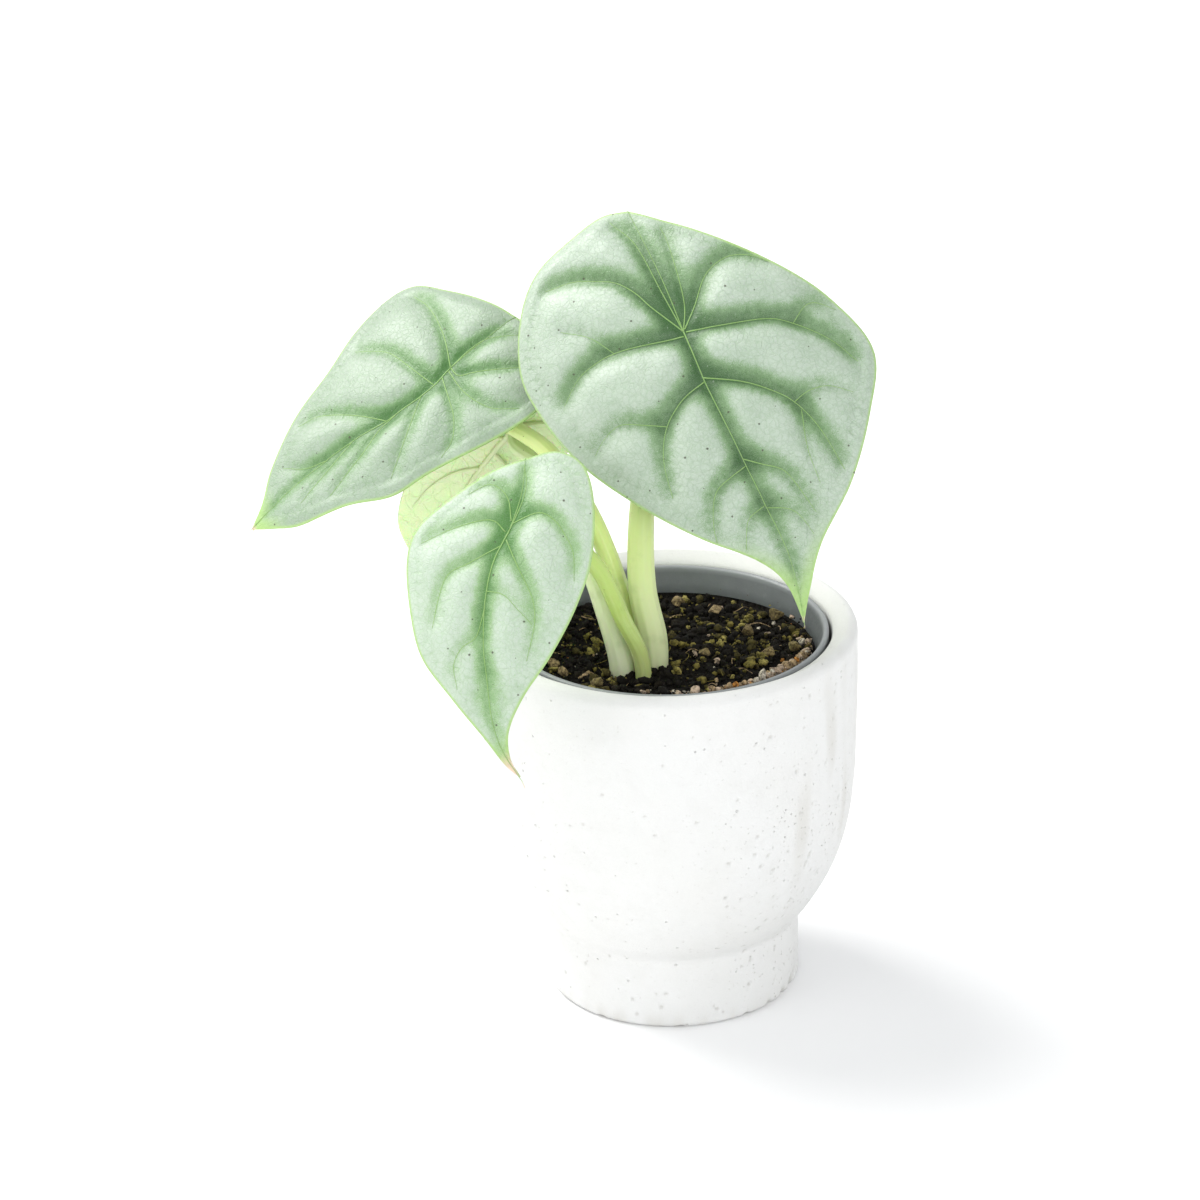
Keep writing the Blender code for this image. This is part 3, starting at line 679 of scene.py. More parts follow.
def on_leaf(leaf_name, spots, lift):
    """Points on the quilted blade, lifted off its middle by some millimetres."""
    spots = np.asarray(spots, float)
    middle, out = bent_blade(LEAVES[leaf_name], spots)
    height = leaf_fields(leaf_name, spots)["height"]
    return middle + out * (height + lift)[:, None], out


print("the large leaf faces", unit(LEAVES["leaf_blade_large"]["face"]).round(2).tolist())

# %% [markdown]
# ## The leaf finishes
#
# The upper side is silver-green in the puffed panels and dark green along the veins. The silver comes
# from air under the skin, so it looks frosted and has a satin sheen. Close up there is a net of tiny
# veins, a fine grain, a bright yellow-green margin and a few specks. Every mask is worked out in leaf
# millimetres, so the pattern bends with the leaf and has its real size.

# %% The upper side of a mature leaf
# The large leaf's panel colours are partly its own silver and partly painted light, set lighter than the leaf
# is.
SILVER = (0.350, 0.440, 0.340)
PALE_SILVER = (0.510, 0.585, 0.500)
VEIN_GREEN = (0.020, 0.090, 0.010)
MARGIN_GREEN = (0.350, 0.540, 0.170)
LEAF_SPECK = (0.050, 0.050, 0.025)
DRY_TIP = (0.740, 0.560, 0.420)


def upper_leaf_finish(name, silver, pale, middle, dark):
    finish = Finish(name, roughness=0.4, specular=0.5, coat=0.16, subsurface=0.04, sheen=0.03)
    finish.place("leaf_mm")
    mottle = finish.group(mottle_group, Scale=0.11, Contrast=1.6)
    panel = finish.mix(mottle, silver, pale)
    grain = finish.noise(2.3, 5.0, 0.7)
    glitter = finish.noise(6.5, 3.0, 0.75)
    panel = finish.mix(finish.step(grain, 0.35, 0.75, 0.0, 0.55), panel, pale)
    panel = finish.mix(finish.step(glitter, 0.36, 0.50, 0.34, 0.0), panel, middle)
    net = finish.group(net_group, Scale=0.20, Width=0.04)
    fine_net = finish.group(net_group, Scale=0.75, Width=0.14)
    panel = finish.mix(finish.times(net, 0.10), panel, middle)
    panel = finish.mix(finish.times(fine_net, 0.20), panel, middle)
    # The smallest ribs leave each vein squarely and fade before the middle of the panel.
    sway = finish.times(finish.noise(0.35, 2.0), 6.0)
    phase = finish.sum(finish.times(finish.number("along"), 1.1), sway)
    wave = math_node(finish.tree, "ABSOLUTE", math_node(finish.tree, "SINE", phase))
    line = math_node(finish.tree, "POWER", wave, 9.0)
    line = finish.times(line, finish.step(finish.number("vein"), 1.5, 7.0, 1.0, 0.0))
    line = finish.times(line, finish.step(finish.number("vein"), 0.4, 1.6))
    line = finish.times(line, finish.number("steady"))
    panel = finish.mix(finish.times(line, 0.26), panel, middle)
    wander = finish.times(finish.centred(finish.noise(0.45, 4.0, 0.65)), 0.40)
    # The green shows through the silver as fine dots, so a band has a stippled edge.
    stipple = finish.centred(finish.noise(4.0, 3.0, 0.8))
    wander = finish.sum(wander, finish.times(stipple, 0.75))
    band = finish.sum(finish.number("band"), wander, clamp=True)
    mixed = finish.mix(finish.step(band, 0.12, 0.50, 0.0, 0.80), panel, middle)
    mixed = finish.mix(finish.step(band, 0.38, 0.84, 0.0, 0.95), mixed, dark)
    close = finish.step(finish.number("vein"), 0.25, 1.5, 0.85, 0.0)
    close = finish.times(close, finish.step(finish.number("band"), 0.25, 0.60))
    mixed = finish.mix(close, mixed, dark)
    mixed = finish.mix(finish.step(glitter, 0.50, 0.66, 0.0, 0.22), mixed, pale)
    edge = finish.number("edge")
    near_edge = finish.step(edge, 0.8, 4.2, 0.95, 0.0)
    at_tip = finish.times(finish.number("near_tip"), near_edge)
    mixed = finish.mix(at_tip, mixed, MARGIN_GREEN)
    mixed = finish.mix(finish.step(edge, 0.2, 0.9, 0.85, 0.0), mixed, MARGIN_GREEN)
    specks = finish.group(flat_specks_group, Scale=0.17, Size=0.045, Share=0.45)
    mixed = finish.mix(finish.times(specks, 0.85), mixed, LEAF_SPECK)
    dots = finish.group(flat_specks_group, Scale=0.55, Size=0.08, Share=0.25)
    mixed = finish.mix(finish.times(dots, 0.35), mixed, pale)
    mixed = finish.mix(finish.number("dry"), mixed, DRY_TIP)
    finish.colour(mixed)
    finish.roughness(finish.step(grain, 0.2, 0.8, 0.30, 0.50))
    finish.bump((net, -0.03), (fine_net, -0.05), (line, -0.08), (grain, 0.08), (glitter, 0.04))
    return finish.material


# Each leaf has its own copy of one silver skin: the large and front copies are painted lighter as painted
# light, and the left copy darker as painted shade.
large_leaf_skin_lit = upper_leaf_finish(
    "silver leaf, large, painted light", SILVER, PALE_SILVER, (0.120, 0.255, 0.075), VEIN_GREEN
)
left_leaf_skin_shaded = upper_leaf_finish(
    "silver leaf, left, painted shade",
    (0.250, 0.340, 0.235), (0.390, 0.465, 0.380), (0.135, 0.285, 0.085), (0.040, 0.150, 0.018),
)
front_leaf_skin_lit = upper_leaf_finish(
    "silver leaf, front, painted light",
    (0.400, 0.500, 0.390), (0.550, 0.630, 0.540), (0.215, 0.390, 0.140), (0.055, 0.190, 0.025),
)
print("leaf finishes:", large_leaf_skin_lit.name, left_leaf_skin_shaded.name, front_leaf_skin_lit.name)


# %% The underside and the veins
def under_leaf_finish(name, base, light, lines, strength, glow):
    finish = Finish(name, roughness=0.55, specular=0.35, subsurface=glow)
    finish.place("leaf_mm")
    mottle = finish.group(mottle_group, Scale=0.15, Contrast=1.4)
    net = finish.group(net_group, Scale=0.27, Width=0.09)
    fine_net = finish.group(net_group, Scale=0.9, Width=0.12)
    colour = finish.mix(mottle, base, light)
    colour = finish.mix(finish.times(net, 0.5 * strength), colour, lines)
    colour = finish.mix(finish.times(fine_net, 0.22 * strength), colour, lines)
    colour = finish.mix(finish.step(finish.number("band"), 0.3, 1.0, 0.0, 0.75 * strength), colour, lines)
    finish.colour(colour)
    grain = finish.noise(1.9, 4.0, 0.6)
    finish.bump((net, 0.12), (fine_net, 0.05), (grain, 0.04))
    return finish.material


leaf_underside = under_leaf_finish(
    "leaf underside", (0.30, 0.42, 0.23), (0.38, 0.50, 0.30), (0.16, 0.28, 0.10), 0.6, 0.2
)
# The young leaf's underside is partly pale from youth and partly painted light shining through the thin
# blade.
young_underside_backlit = under_leaf_finish(
    "young leaf underside, painted backlight", (0.78, 0.84, 0.58), (0.86, 0.90, 0.71), (0.55, 0.68, 0.30), 0.2, 0.7
)


def vein_finish(name, pale, green, roughness):
    finish = Finish(name, roughness=roughness, specular=0.4, subsurface=0.1)
    finish.place("leaf_mm")
    tone = finish.noise(0.6, 3.0)
    colour = finish.mix(tone, green, pale)
    colour = finish.mix(finish.number("dry"), colour, DRY_TIP)
    finish.colour(colour)
    finish.bump((finish.noise(3.0, 3.0), 0.03))
    return finish.material


upper_vein_skin = vein_finish("upper vein", (0.34, 0.53, 0.20), (0.20, 0.38, 0.10), 0.4)
rib_skin = vein_finish("underside rib", (0.52, 0.62, 0.32), (0.40, 0.52, 0.22), 0.5)
# Its ribs are painted just as pale, with the same painted light shining through.
young_rib_skin_backlit = vein_finish("young underside rib, painted backlight", (0.82, 0.88, 0.60), (0.72, 0.80, 0.46), 0.5)
margin_skin = vein_finish("leaf margin", (0.38, 0.57, 0.18), (0.28, 0.46, 0.12), 0.4)
print("finishes so far:", [material.name for material in bpy.data.materials])

# %% [markdown]
# ## The leaves: building the blade
#
# The mesh has rows that cross the leaf from its back edge to its tip, with the midrib as the middle
# column. Rows laid this way follow the leaf's own growth, so the margin and the midrib stay crisp.
# The same grid is used twice, above and below, and a thin rim joins the two.

# %% Build the blades
BLADE_GRID = {
    "leaf_blade_large": (210, 78),
    "leaf_blade_left": (170, 64),
    "leaf_blade_front": (150, 54),
    "leaf_blade_back": (100, 36),
}
LARGEST_STEP = 1.6  # mm; the place along a vein never changes more than this between grid points


def blade_spots(leaf, rows, columns):
    """(u, v) for the back pole, the tip pole and then each row of the grid."""
    left, middle, right = (walk(smooth_curve(leaf[part]), rows + 1) for part in ("left", "midrib", "right"))
    share = np.abs(np.arange(-columns, columns + 1)) / columns
    share = 1 - (1 - share) ** 1.15
    grid = []
    for i in range(1, rows):
        outer = np.where((np.arange(-columns, columns + 1) < 0)[:, None], left[i], right[i])
        grid.append(middle[i] + (outer - middle[i]) * share[:, None])
    poles = np.array([leaf["midrib"][0], leaf["midrib"][-1]])
    return np.vstack([poles, *grid]), rows - 1, 2 * columns + 1


def blade_faces(rows, width, start, flip):
    """Faces of one side of the blade: two fans at the poles and quads between."""
    index = start + 2 + np.arange(rows * width).reshape(rows, width)
    a, b = index[:-1, :-1].ravel(), index[1:, :-1].ravel()
    c, d = index[1:, 1:].ravel(), index[:-1, 1:].ravel()
    faces = np.column_stack([a, d, c, b] if flip else [a, b, c, d]).tolist()
    for k in range(width - 1):
        back = [start, int(index[0, k]), int(index[0, k + 1])]
        tip = [start + 1, int(index[-1, k + 1]), int(index[-1, k])]
        faces += [back[::-1], tip[::-1]] if flip else [back, tip]
    return faces


def rim_faces(rows, width, layer):
    """The narrow band along the margin that joins the two sides."""
    faces = []
    for column, flip in ((0, False), (width - 1, True)):
        line = [0, *(2 + row * width + column for row in range(rows)), 1]
        for a, b in zip(line, line[1:]):
            quad = [a, layer + a, layer + b, b]
            faces.append(quad[::-1] if flip else quad)
    return faces


def neighbourhood(grid):
    """Each value of the grid with its four neighbours, as five grids."""
    wide = np.pad(grid, 1, mode="edge")
    return wide[1:-1, 1:-1], wide[:-2, 1:-1], wide[2:, 1:-1], wide[1:-1, :-2], wide[1:-1, 2:]


def away_from_jumps(values, rows, width):
    """1 where the values change smoothly over the grid, 0 where they jump from vein to vein."""
    grid = values[2:].reshape(rows, width)
    jump = np.zeros_like(grid)
    for axis in (0, 1):
        step = np.abs(np.diff(grid, axis=axis)) > LARGEST_STEP
        first, last = np.take(step, [0], axis=axis), np.take(step, [-1], axis=axis)
        jump += np.concatenate([step, last], axis=axis)
        jump += np.concatenate([first, step], axis=axis)
    jump = np.minimum(jump, 1.0)
    for _ in range(3):
        jump = np.max(neighbourhood(jump), axis=0)
    for _ in range(4):
        jump = sum(neighbourhood(jump)) / 5
    return np.concatenate([[0.0, 0.0], 1 - np.clip(jump.ravel() * 1.3, 0, 1)])


def build_blade(leaf_name, upper, under):
    leaf = LEAVES[leaf_name]
    rows, columns = BLADE_GRID[leaf_name]
    spots, rows, width = blade_spots(leaf, rows, columns)
    middle, out = bent_blade(leaf, spots)
    fields = leaf_fields(leaf_name, spots)
    edge, height = fields["edge"], fields["height"]
    half = 0.5 * (EDGE_THICKNESS + (BLADE_THICKNESS - EDGE_THICKNESS) * ease(edge, 0.0, 3.0))
    top = middle + out * (height + half)[:, None]
    bottom = middle + out * (height - half)[:, None]
    layer = len(spots)
    above = blade_faces(rows, width, 0, False)
    below = blade_faces(rows, width, layer, True)
    rim = rim_faces(rows, width, layer)
    kinds = [0] * len(above) + [1] * len(below) + [2] * len(rim)
    piece = make_piece(
        leaf_name + "_quilted", np.vstack([top, bottom]), above + below + rim,
        [upper, under, margin_skin], [leaf_name], kinds,
    )
    from_tip = np.linalg.norm(spots - leaf["midrib"][-1], axis=1)
    dry_range = (2.5, 7.5) if leaf_name == "leaf_blade_front" else (0.5, 1.8)
    for name in ("band", "edge", "vein", "along"):
        mark(piece, name, np.tile(fields[name], 2))
    tip_reach = 30.0 if leaf_name == "leaf_blade_large" else 13.0
    mark(piece, "near_tip", np.tile(1 - ease(from_tip, 2.0, tip_reach), 2))
    mark(piece, "steady", np.tile(away_from_jumps(fields["along"], rows, width), 2))
    mark(piece, "dry", np.tile(1 - ease(from_tip, *dry_range), 2))
    mark(piece, "leaf_mm", np.tile(np.column_stack([spots, np.zeros(len(spots))]), (2, 1)))
    return piece


for leaf_name, upper, under in (
    ("leaf_blade_large", large_leaf_skin_lit, leaf_underside),
    ("leaf_blade_left", left_leaf_skin_shaded, leaf_underside),
    ("leaf_blade_front", front_leaf_skin_lit, leaf_underside),
    ("leaf_blade_back", front_leaf_skin_lit, young_underside_backlit),
):
    made = build_blade(leaf_name, upper, under)
    print(made.name, len(made.data.vertices), "points")


# %% [markdown]
# ## Tubes
#
# Veins, stalks, roots and stray fibres are all tubes whose radius changes along the way. One function
# builds a tube, and a second puts many of them into a single mesh. The first carries two directions
# along its path and turns them as little as it can, so the tube doesn't twist.

# %% A function that builds tubes
def tube_mesh(path, radii, sides, section=None):
    """Points, faces and (around, along) values of one closed tube."""
    path = np.asarray(path, float)
    ahead = np.gradient(path, axis=0)
    ahead /= np.linalg.norm(ahead, axis=1)[:, None]
    angles = np.linspace(0, 2 * math.pi, sides, endpoint=False)
    across = np.array([1.0, 0.0, 0.0]) if abs(ahead[0][0]) < 0.9 else np.array([0.0, 1.0, 0.0])
    points, marks = [], []
    reached = np.concatenate([[0.0], np.cumsum(np.linalg.norm(np.diff(path, axis=0), axis=1))])
    for i, centre in enumerate(path):
        across = unit(across - ahead[i] * (across @ ahead[i]))
        other = np.cross(ahead[i], across)
        radius = np.full(sides, radii[i])
        if section is not None:
            radius = section(angles, i / (len(path) - 1)) * radii[i]
        spokes = np.cos(angles)[:, None] * across + np.sin(angles)[:, None] * other
        points.append(centre + radius[:, None] * spokes)
        marks.append(np.column_stack([angles * radii[i], np.full(sides, reached[i]), np.zeros(sides)]))
    faces = []
    for ring in range(len(path) - 1):
        low = ring * sides
        for side in range(sides):
            after = (side + 1) % sides
            faces.append([low + side, low + after, low + sides + after, low + sides + side])
    faces.append(list(range(sides))[::-1])
    last = (len(path) - 1) * sides
    faces.append([last + side for side in range(sides)])
    return np.vstack(points), faces, np.vstack(marks)


def joined(parts):
    """Several (points, faces, marks) put into one."""
    points, faces, marks, start = [], [], [], 0
    for part_points, part_faces, part_marks in parts:
        points.append(part_points)
        faces += [[start + i for i in face] for face in part_faces]
        marks.append(part_marks)
        start += len(part_points)
    return np.vstack(points), faces, np.vstack(marks)


print("a short tube:", len(tube_mesh([(0, 0, 0), (0, 0, 5), (0, 0, 10)], [1, 1, 1], 8)[0]), "points")

# %% [markdown]
# ## The veins as real ribs
#
# Under the leaf the veins stand out as round ribs that carry its weight, and on top the strong ones
# are fine pale lines at the bottom of a crease. All are thin tubes laid on the quilted surface, thick
# at the hub and thin at the end. A painted line would vanish in a side light, and these catch it.

# %% Lay the veins
def lay_veins(leaf_name, name, skin, sides, thick, thin, lift, tip_hair=0.0):
    """A leaf's veins as tubes: above the blade the strong ones, and below it all, sunk into the skin."""
    parts, dryness = [], []
    for number, (points, strength) in enumerate(vein_lines(leaf_name)):
        if len(points) < 5 or (lift > 0 and strength[0] < 0.45):
            continue
        keep = walk(points, max(5, len(points) // 2))
        weight = np.interp(np.linspace(0, 1, len(keep)), np.linspace(0, 1, len(points)), strength)
        path, out = on_leaf(leaf_name, keep, lift)
        radii = (thin + (thick - thin) * weight ** 1.6) * np.linspace(1.0, 0.7, len(keep))
        if lift < 0:
            path -= out * (0.8 * radii)[:, None]
        if number == 0 and tip_hair:
            ahead = unit(path[-1] - path[-4])
            hair = path[-1] + ahead * np.linspace(0.4, tip_hair, 8)[:, None]
            hair += np.array([0, 0, -1.0]) * (np.linspace(0, 1, 8) ** 2 * tip_hair * 0.35)[:, None]
            path = np.vstack([path, hair])
            radii = np.concatenate([radii, np.linspace(radii[-1], 0.06, 8)])
            keep = np.vstack([keep, np.repeat(keep[-1:], 8, axis=0)])
        made = tube_mesh(path, radii, sides)
        leaf_mm = np.column_stack([np.repeat(keep, sides, axis=0), np.zeros(len(made[0]))])
        parts.append((made[0], made[1], leaf_mm))
        dry = np.zeros(len(keep))
        if number == 0 and tip_hair:
            dry = ease(np.arange(len(keep)), len(keep) - 8, len(keep) - 1)
        dryness.append(np.repeat(dry, sides))
    points, faces, marks = joined(parts)
    piece = make_piece(name, points, faces, [skin], [leaf_name])
    mark(piece, "leaf_mm", marks)
    mark(piece, "dry", np.concatenate(dryness))
    return piece


half_blade = BLADE_THICKNESS / 2
TIP_HAIRS = {"leaf_blade_large": 1.0, "leaf_blade_left": 4.5, "leaf_blade_front": 2.2, "leaf_blade_back": 1.0}
for leaf_name, hair in TIP_HAIRS.items():
    lay_veins(leaf_name, leaf_name + "_veins", upper_vein_skin, 6, 0.17, 0.07, half_blade + 0.01, hair)
    rib = young_rib_skin_backlit if leaf_name == "leaf_blade_back" else rib_skin
    ribs = lay_veins(leaf_name, leaf_name + "_ribs", rib, 8, 0.85, 0.16, -half_blade + 0.05)
    print(ribs.name, len(ribs.data.vertices), "points")

# %% [markdown]
# ## The stalks
#
# An alocasia stalk is a thick, watery tube. Low down it is pale, almost white-green, and wraps its
# neighbour with an open sheath, so its section there is wide and has a slit. Higher up it is round,
# thinner and yellow-green. Long faint grooves run along it, and those are what the light picks out.

# %% Stalk routes and finish
PETIOLES = {
    "petiole_large": ("leaf_blade_large", 8.0, [
        (-3.8, -12.6, 84.5, 3.1), (-3.9, -13.0, 96.0, 3.4), (-6.3, -12.5, 110.2, 3.3),
        (-5.9, -9.0, 127.5, 3.0), (-3.2, -1.0, 140.0, 2.7), (1.5, 6.5, 152.5, 2.4),
    ]),
    "petiole_left": ("leaf_blade_left", 6.0, [
        (-9.8, -9.2, 84.5, 2.4), (-8.9, -8.8, 94.3, 2.6), (-13.0, -7.5, 111.5, 2.5),
        (-18.4, -3.8, 125.3, 2.3), (-27.0, 3.5, 137.5, 2.1), (-37.5, 11.5, 142.7, 2.0),
        (-45.5, 17.5, 145.8, 1.9),
    ]),
    "petiole_front": ("leaf_blade_front", 5.0, [
        (-6.1, -19.2, 84.5, 1.9), (-7.1, -20.3, 95.5, 1.9), (-11.2, -22.5, 106.2, 2.0),
        (-16.2, -26.0, 119.6, 2.0), (-22.5, -28.0, 127.4, 2.0), (-30.0, -28.5, 130.0, 1.9),
    ]),
    "petiole_back": ("leaf_blade_back", 7.0, [
        (-11.4, -15.8, 84.5, 3.0), (-11.6, -16.0, 93.6, 3.2), (-15.4, -15.5, 107.8, 2.9),
        (-19.2, -11.4, 116.7, 2.4), (-24.9, -1.5, 125.0, 2.0), (-30.3, 9.0, 132.8, 1.9),
    ]),
}
# The colour of each stalk: at its base, and from two fifths of its length upwards.
PETIOLE_COLOURS = {
    "petiole_large": ((0.68, 0.74, 0.44), (0.64, 0.76, 0.30)),
    "petiole_left": ((0.66, 0.74, 0.38), (0.72, 0.84, 0.32)),
    # The front stalk's darker olive is partly its own colour and partly painted shade.
    "petiole_front": ((0.50, 0.58, 0.22), (0.45, 0.60, 0.15)),
    "petiole_back": ((0.74, 0.80, 0.54), (0.68, 0.78, 0.44)),
}


def petiole_finish(name, base, upper):
    finish = Finish(name, roughness=0.38, specular=0.5, coat=0.15, subsurface=0.25)
    finish.place("stalk_mm")
    stretch = node(finish.tree, "ShaderNodeVectorMath", operation="MULTIPLY", in_1=(1.0, 0.08, 1.0))
    finish.tree.links.new(finish.spot, stretch.inputs[0])
    streak = noise_node(finish.tree, stretch.outputs[0], 0.9, 4.0, 0.6)
    fine = noise_node(finish.tree, stretch.outputs[0], 3.2, 3.0, 0.6)
    blotch = finish.group(mottle_group, Scale=0.12, Contrast=1.5)
    colour = finish.mix(finish.step(finish.number("height"), 0.05, 0.42), base, upper)
    colour = finish.mix(finish.step(streak, 0.45, 0.75, 0.0, 0.35), colour, (0.62, 0.74, 0.36))
    colour = finish.mix(finish.step(blotch, 0.55, 0.9, 0.0, 0.30), colour, (0.24, 0.36, 0.08))
    specks = finish.group(flat_specks_group, Scale=0.35, Size=0.06, Share=0.10)
    colour = finish.mix(finish.times(specks, 0.6), colour, (0.16, 0.10, 0.04))
    foot = finish.step(finish.number("height"), 0.0, 0.09, 0.7, 0.0)
    colour = finish.mix(foot, colour, (0.42, 0.34, 0.20))
    finish.colour(colour)
    finish.bump((streak, 0.12), (fine, 0.05))
    return finish.material


print(len(PETIOLES), "stalks")

# %% Build the stalks
STALK_SIDES = 48
SHEATH_SLIT = 1.9  # the side that the slit of the sheath is on, in radians


def stalk_section(angles, along):
    """Grooves all the way up, and a sheath slit that closes two fifths of the way up."""
    grooves = 0.022 * np.cos(11 * angles + 5 * along) + 0.014 * np.cos(7 * angles - 3 * along)
    sheath = 1 - float(ease(np.array([along]), 0.18, 0.42)[0])
    away = np.angle(np.exp(1j * (angles - SHEATH_SLIT)))
    slit = 0.20 * np.exp(-(away / 0.16) ** 2) - 0.06 * np.exp(-((np.abs(away) - 0.34) / 0.16) ** 2)
    return 1 + grooves - sheath * slit


for name, (leaf_name, straight, knots) in PETIOLES.items():
    leaf = LEAVES[leaf_name]
    hub, face = np.asarray(leaf["hub"]), unit(leaf["face"])
    under_hub = on_leaf(leaf_name, [(0.0, 0.0)], -BLADE_THICKNESS / 2)[0][0]
    end_radius = knots[-1][3]
    below_hub, at_hub = hub - face * straight, under_hub - face * 0.05
    path = [*knots, (*below_hub, end_radius * 0.98), (*at_hub, end_radius * 1.08)]
    curve = walk(smooth_curve(path), 110)
    radii = curve[:, 3] * (1 + 0.012 * ripple(np.column_stack([curve[:, 2], curve[:, 0]]), 6.0, 3.3))
    base, upper = PETIOLE_COLOURS[name]
    points, faces, marks = tube_mesh(curve[:, :3], radii, STALK_SIDES, stalk_section)
    skin = petiole_finish(name + " skin", base, upper)
    stalk = make_piece(name + "_stalk", points, faces, [skin], [name])
    mark(stalk, "stalk_mm", marks)
    mark(stalk, "height", np.repeat(np.linspace(0, 1, len(curve)), STALK_SIDES))
    print(stalk.name, f"{marks[:, 1].max():.0f} mm long")

# %% [markdown]
# ## The concrete cover pot
#
# The pot is cast, so it is a turned shape that is never quite perfect. Real air bubbles dot its
# surface, its foot is chipped, and its rim has soft little dents. The big flaws are cut into the
# mesh, because a bump map wouldn't break the pot's outline. The fine grain is left to the material.

# %% Pot sizes and flaws
POT_HEIGHT, POT_RADIUS, POT_BORE_RADIUS = 95.3, 46.0, 39.6
FOOT_RADIUS, FOOT_HEIGHT = 31.3, 18.6
WALL_LINE = [(31.9, 19.2), (35.6, 24.0), (40.3, 32.5), (43.7, 43.5), (45.4, 58.0), (46.0, 80.0)]
POT_FLOOR, POT_BOWL = 25.0, (12.0, 30.0)
POT_LIP_RADIUS = 2.6
AROUND, SMALL_BUBBLES = 640, 420
dice = random.Random(11)


def arc(centre, radius, start, end, count):
    """Points on an elliptical arc, in the (radius, height) plane, from start to end in degrees."""
    angles = np.radians(np.linspace(start, end, count))
    return [(centre[0] + radius[0] * math.cos(a), centre[1] + radius[1] * math.sin(a)) for a in angles]


def dense(profile, step):
    """A profile walked in short equal steps."""
    profile = np.asarray(profile, float)
    length = np.linalg.norm(np.diff(profile, axis=0), axis=1).sum()
    return walk(np.column_stack([profile, np.zeros(len(profile))]), int(length / step))[:, :2]


def turned(profile, around):
    """Points and faces of a closed shape turned about Z, with the profile's ends on the axis."""
    angles = np.linspace(0, 2 * math.pi, around, endpoint=False)
    radius, height = profile[1:-1, 0], profile[1:-1, 1]
    rings = len(radius)
    x, y = np.outer(radius, np.cos(angles)).ravel(), np.outer(radius, np.sin(angles)).ravel()
    points = np.column_stack([x, y, np.repeat(height, around)])
    points = np.vstack([points, [[0, 0, profile[0, 1]], [0, 0, profile[-1, 1]]]])
    index = np.arange(rings * around).reshape(rings, around)
    a, b = index[:-1], np.roll(index[:-1], -1, axis=1)
    c, d = np.roll(index[1:], -1, axis=1), index[1:]
    faces = np.column_stack([a.ravel(), b.ravel(), c.ravel(), d.ravel()]).tolist()
    after = np.roll(index[0], -1)
    faces += [[rings * around, int(j), int(i)] for i, j in zip(index[0], after)]
    after = np.roll(index[-1], -1)
    faces += [[rings * around + 1, int(i), int(j)] for i, j in zip(index[-1], after)]
    return points, faces


def pit(points, at, wide, deep):
    """Pushes points into the wall, towards the pot's axis, in a round bowl; returns the bowl's mask."""
    gap = np.linalg.norm(points - at, axis=1)
    bowl = np.clip(1 - (gap / wide) ** 2, 0, 1) ** 0.6
    inward = np.column_stack([-points[:, 0], -points[:, 1], np.zeros(len(points))])
    inward /= np.maximum(np.linalg.norm(inward, axis=1), 1e-6)[:, None]
    points += inward * (bowl * deep)[:, None]
    return bowl


lip_centre = (POT_RADIUS - POT_LIP_RADIUS, POT_HEIGHT - POT_LIP_RADIUS)
outer_lip = arc(lip_centre, (POT_LIP_RADIUS, POT_LIP_RADIUS), 0, 90, 14)
inner_lip = arc((POT_BORE_RADIUS + 1.6, POT_HEIGHT - 3.2), (1.6, 1.6), 90, 180, 10)
bowl = arc((POT_BORE_RADIUS - POT_BOWL[0], POT_FLOOR + POT_BOWL[1]), POT_BOWL, 0, -90, 30)
outer = [(0.0, 0.0), (FOOT_RADIUS - 0.9, 0.0), (FOOT_RADIUS, 0.9), (FOOT_RADIUS, FOOT_HEIGHT - 1.2)]
outer += [(FOOT_RADIUS + 0.12, FOOT_HEIGHT - 0.4), *smooth_curve(WALL_LINE, 8), *outer_lip]
outer_rows = dense(outer, 0.5)
inner_rows = dense(inner_lip + bowl + [(0.0, POT_FLOOR)], 1.4)
pot_points, pot_faces = turned(np.vstack([outer_rows, inner_rows]), AROUND)
print("cover pot:", len(pot_points), "points")

# %% Cut the bubbles, dents and chips
outward = pot_points[:, :2].copy()
spread = np.maximum(np.linalg.norm(outward, axis=1), 1e-6)
is_outside = (spread > 30.0) & (np.arange(len(pot_points)) < (len(outer_rows) - 1) * AROUND)
wave = ripple(pot_points[is_outside], 26.0, 2.0) * 0.22 + ripple(pot_points[is_outside], 6.0, 5.0) * 0.07
pot_points[is_outside, :2] -= outward[is_outside] / spread[is_outside, None] * np.abs(wave)[:, None]
hollow = np.zeros(len(pot_points))
outside_index = np.flatnonzero(is_outside)


def pot_wall_radius(height):
    """The outer wall's radius at a height."""
    wall = outer_rows[(outer_rows[:, 0] > 30.0)]
    return float(np.interp(height, wall[:, 1], wall[:, 0]))


def pock(angle_degrees, height, wide, deep):
    """One bubble in the outer wall, at an angle from +X and a height in mm."""
    angle = math.radians(angle_degrees)
    radius = pot_wall_radius(height)
    at = np.array([radius * math.cos(angle), radius * math.sin(angle), height])
    near = outside_index[np.linalg.norm(pot_points[outside_index] - at, axis=1) < wide * 1.2]
    part = pot_points[near]
    hollow[near] = np.maximum(hollow[near], pit(part, at, wide, deep))
    pot_points[near] = part


for _ in range(SMALL_BUBBLES):
    height = dice.uniform(2.0, POT_HEIGHT - 4.0)
    side = dice.uniform(0, 360) if dice.random() < 0.55 else dice.gauss(-28, 26)
    size = 0.34 + 0.36 * dice.random() ** 3
    pock(side, height, size, size * 0.6)
for side, height, size in (
    (-42, 46, 0.85), (-35, 38.5, 0.75), (-28, 57, 0.7), (-50, 71, 0.65), (-65, 52, 0.6), (-58, 27.5, 0.8),
    (-22, 33, 0.85), (-47, 33.5, 0.7), (-74, 41, 0.6), (-96, 60, 0.5), (-33, 80, 0.6), (150, 60, 0.8),
    (60, 45, 0.75), (95, 70, 0.7),
):
    pock(side, height, size, size * 0.8)
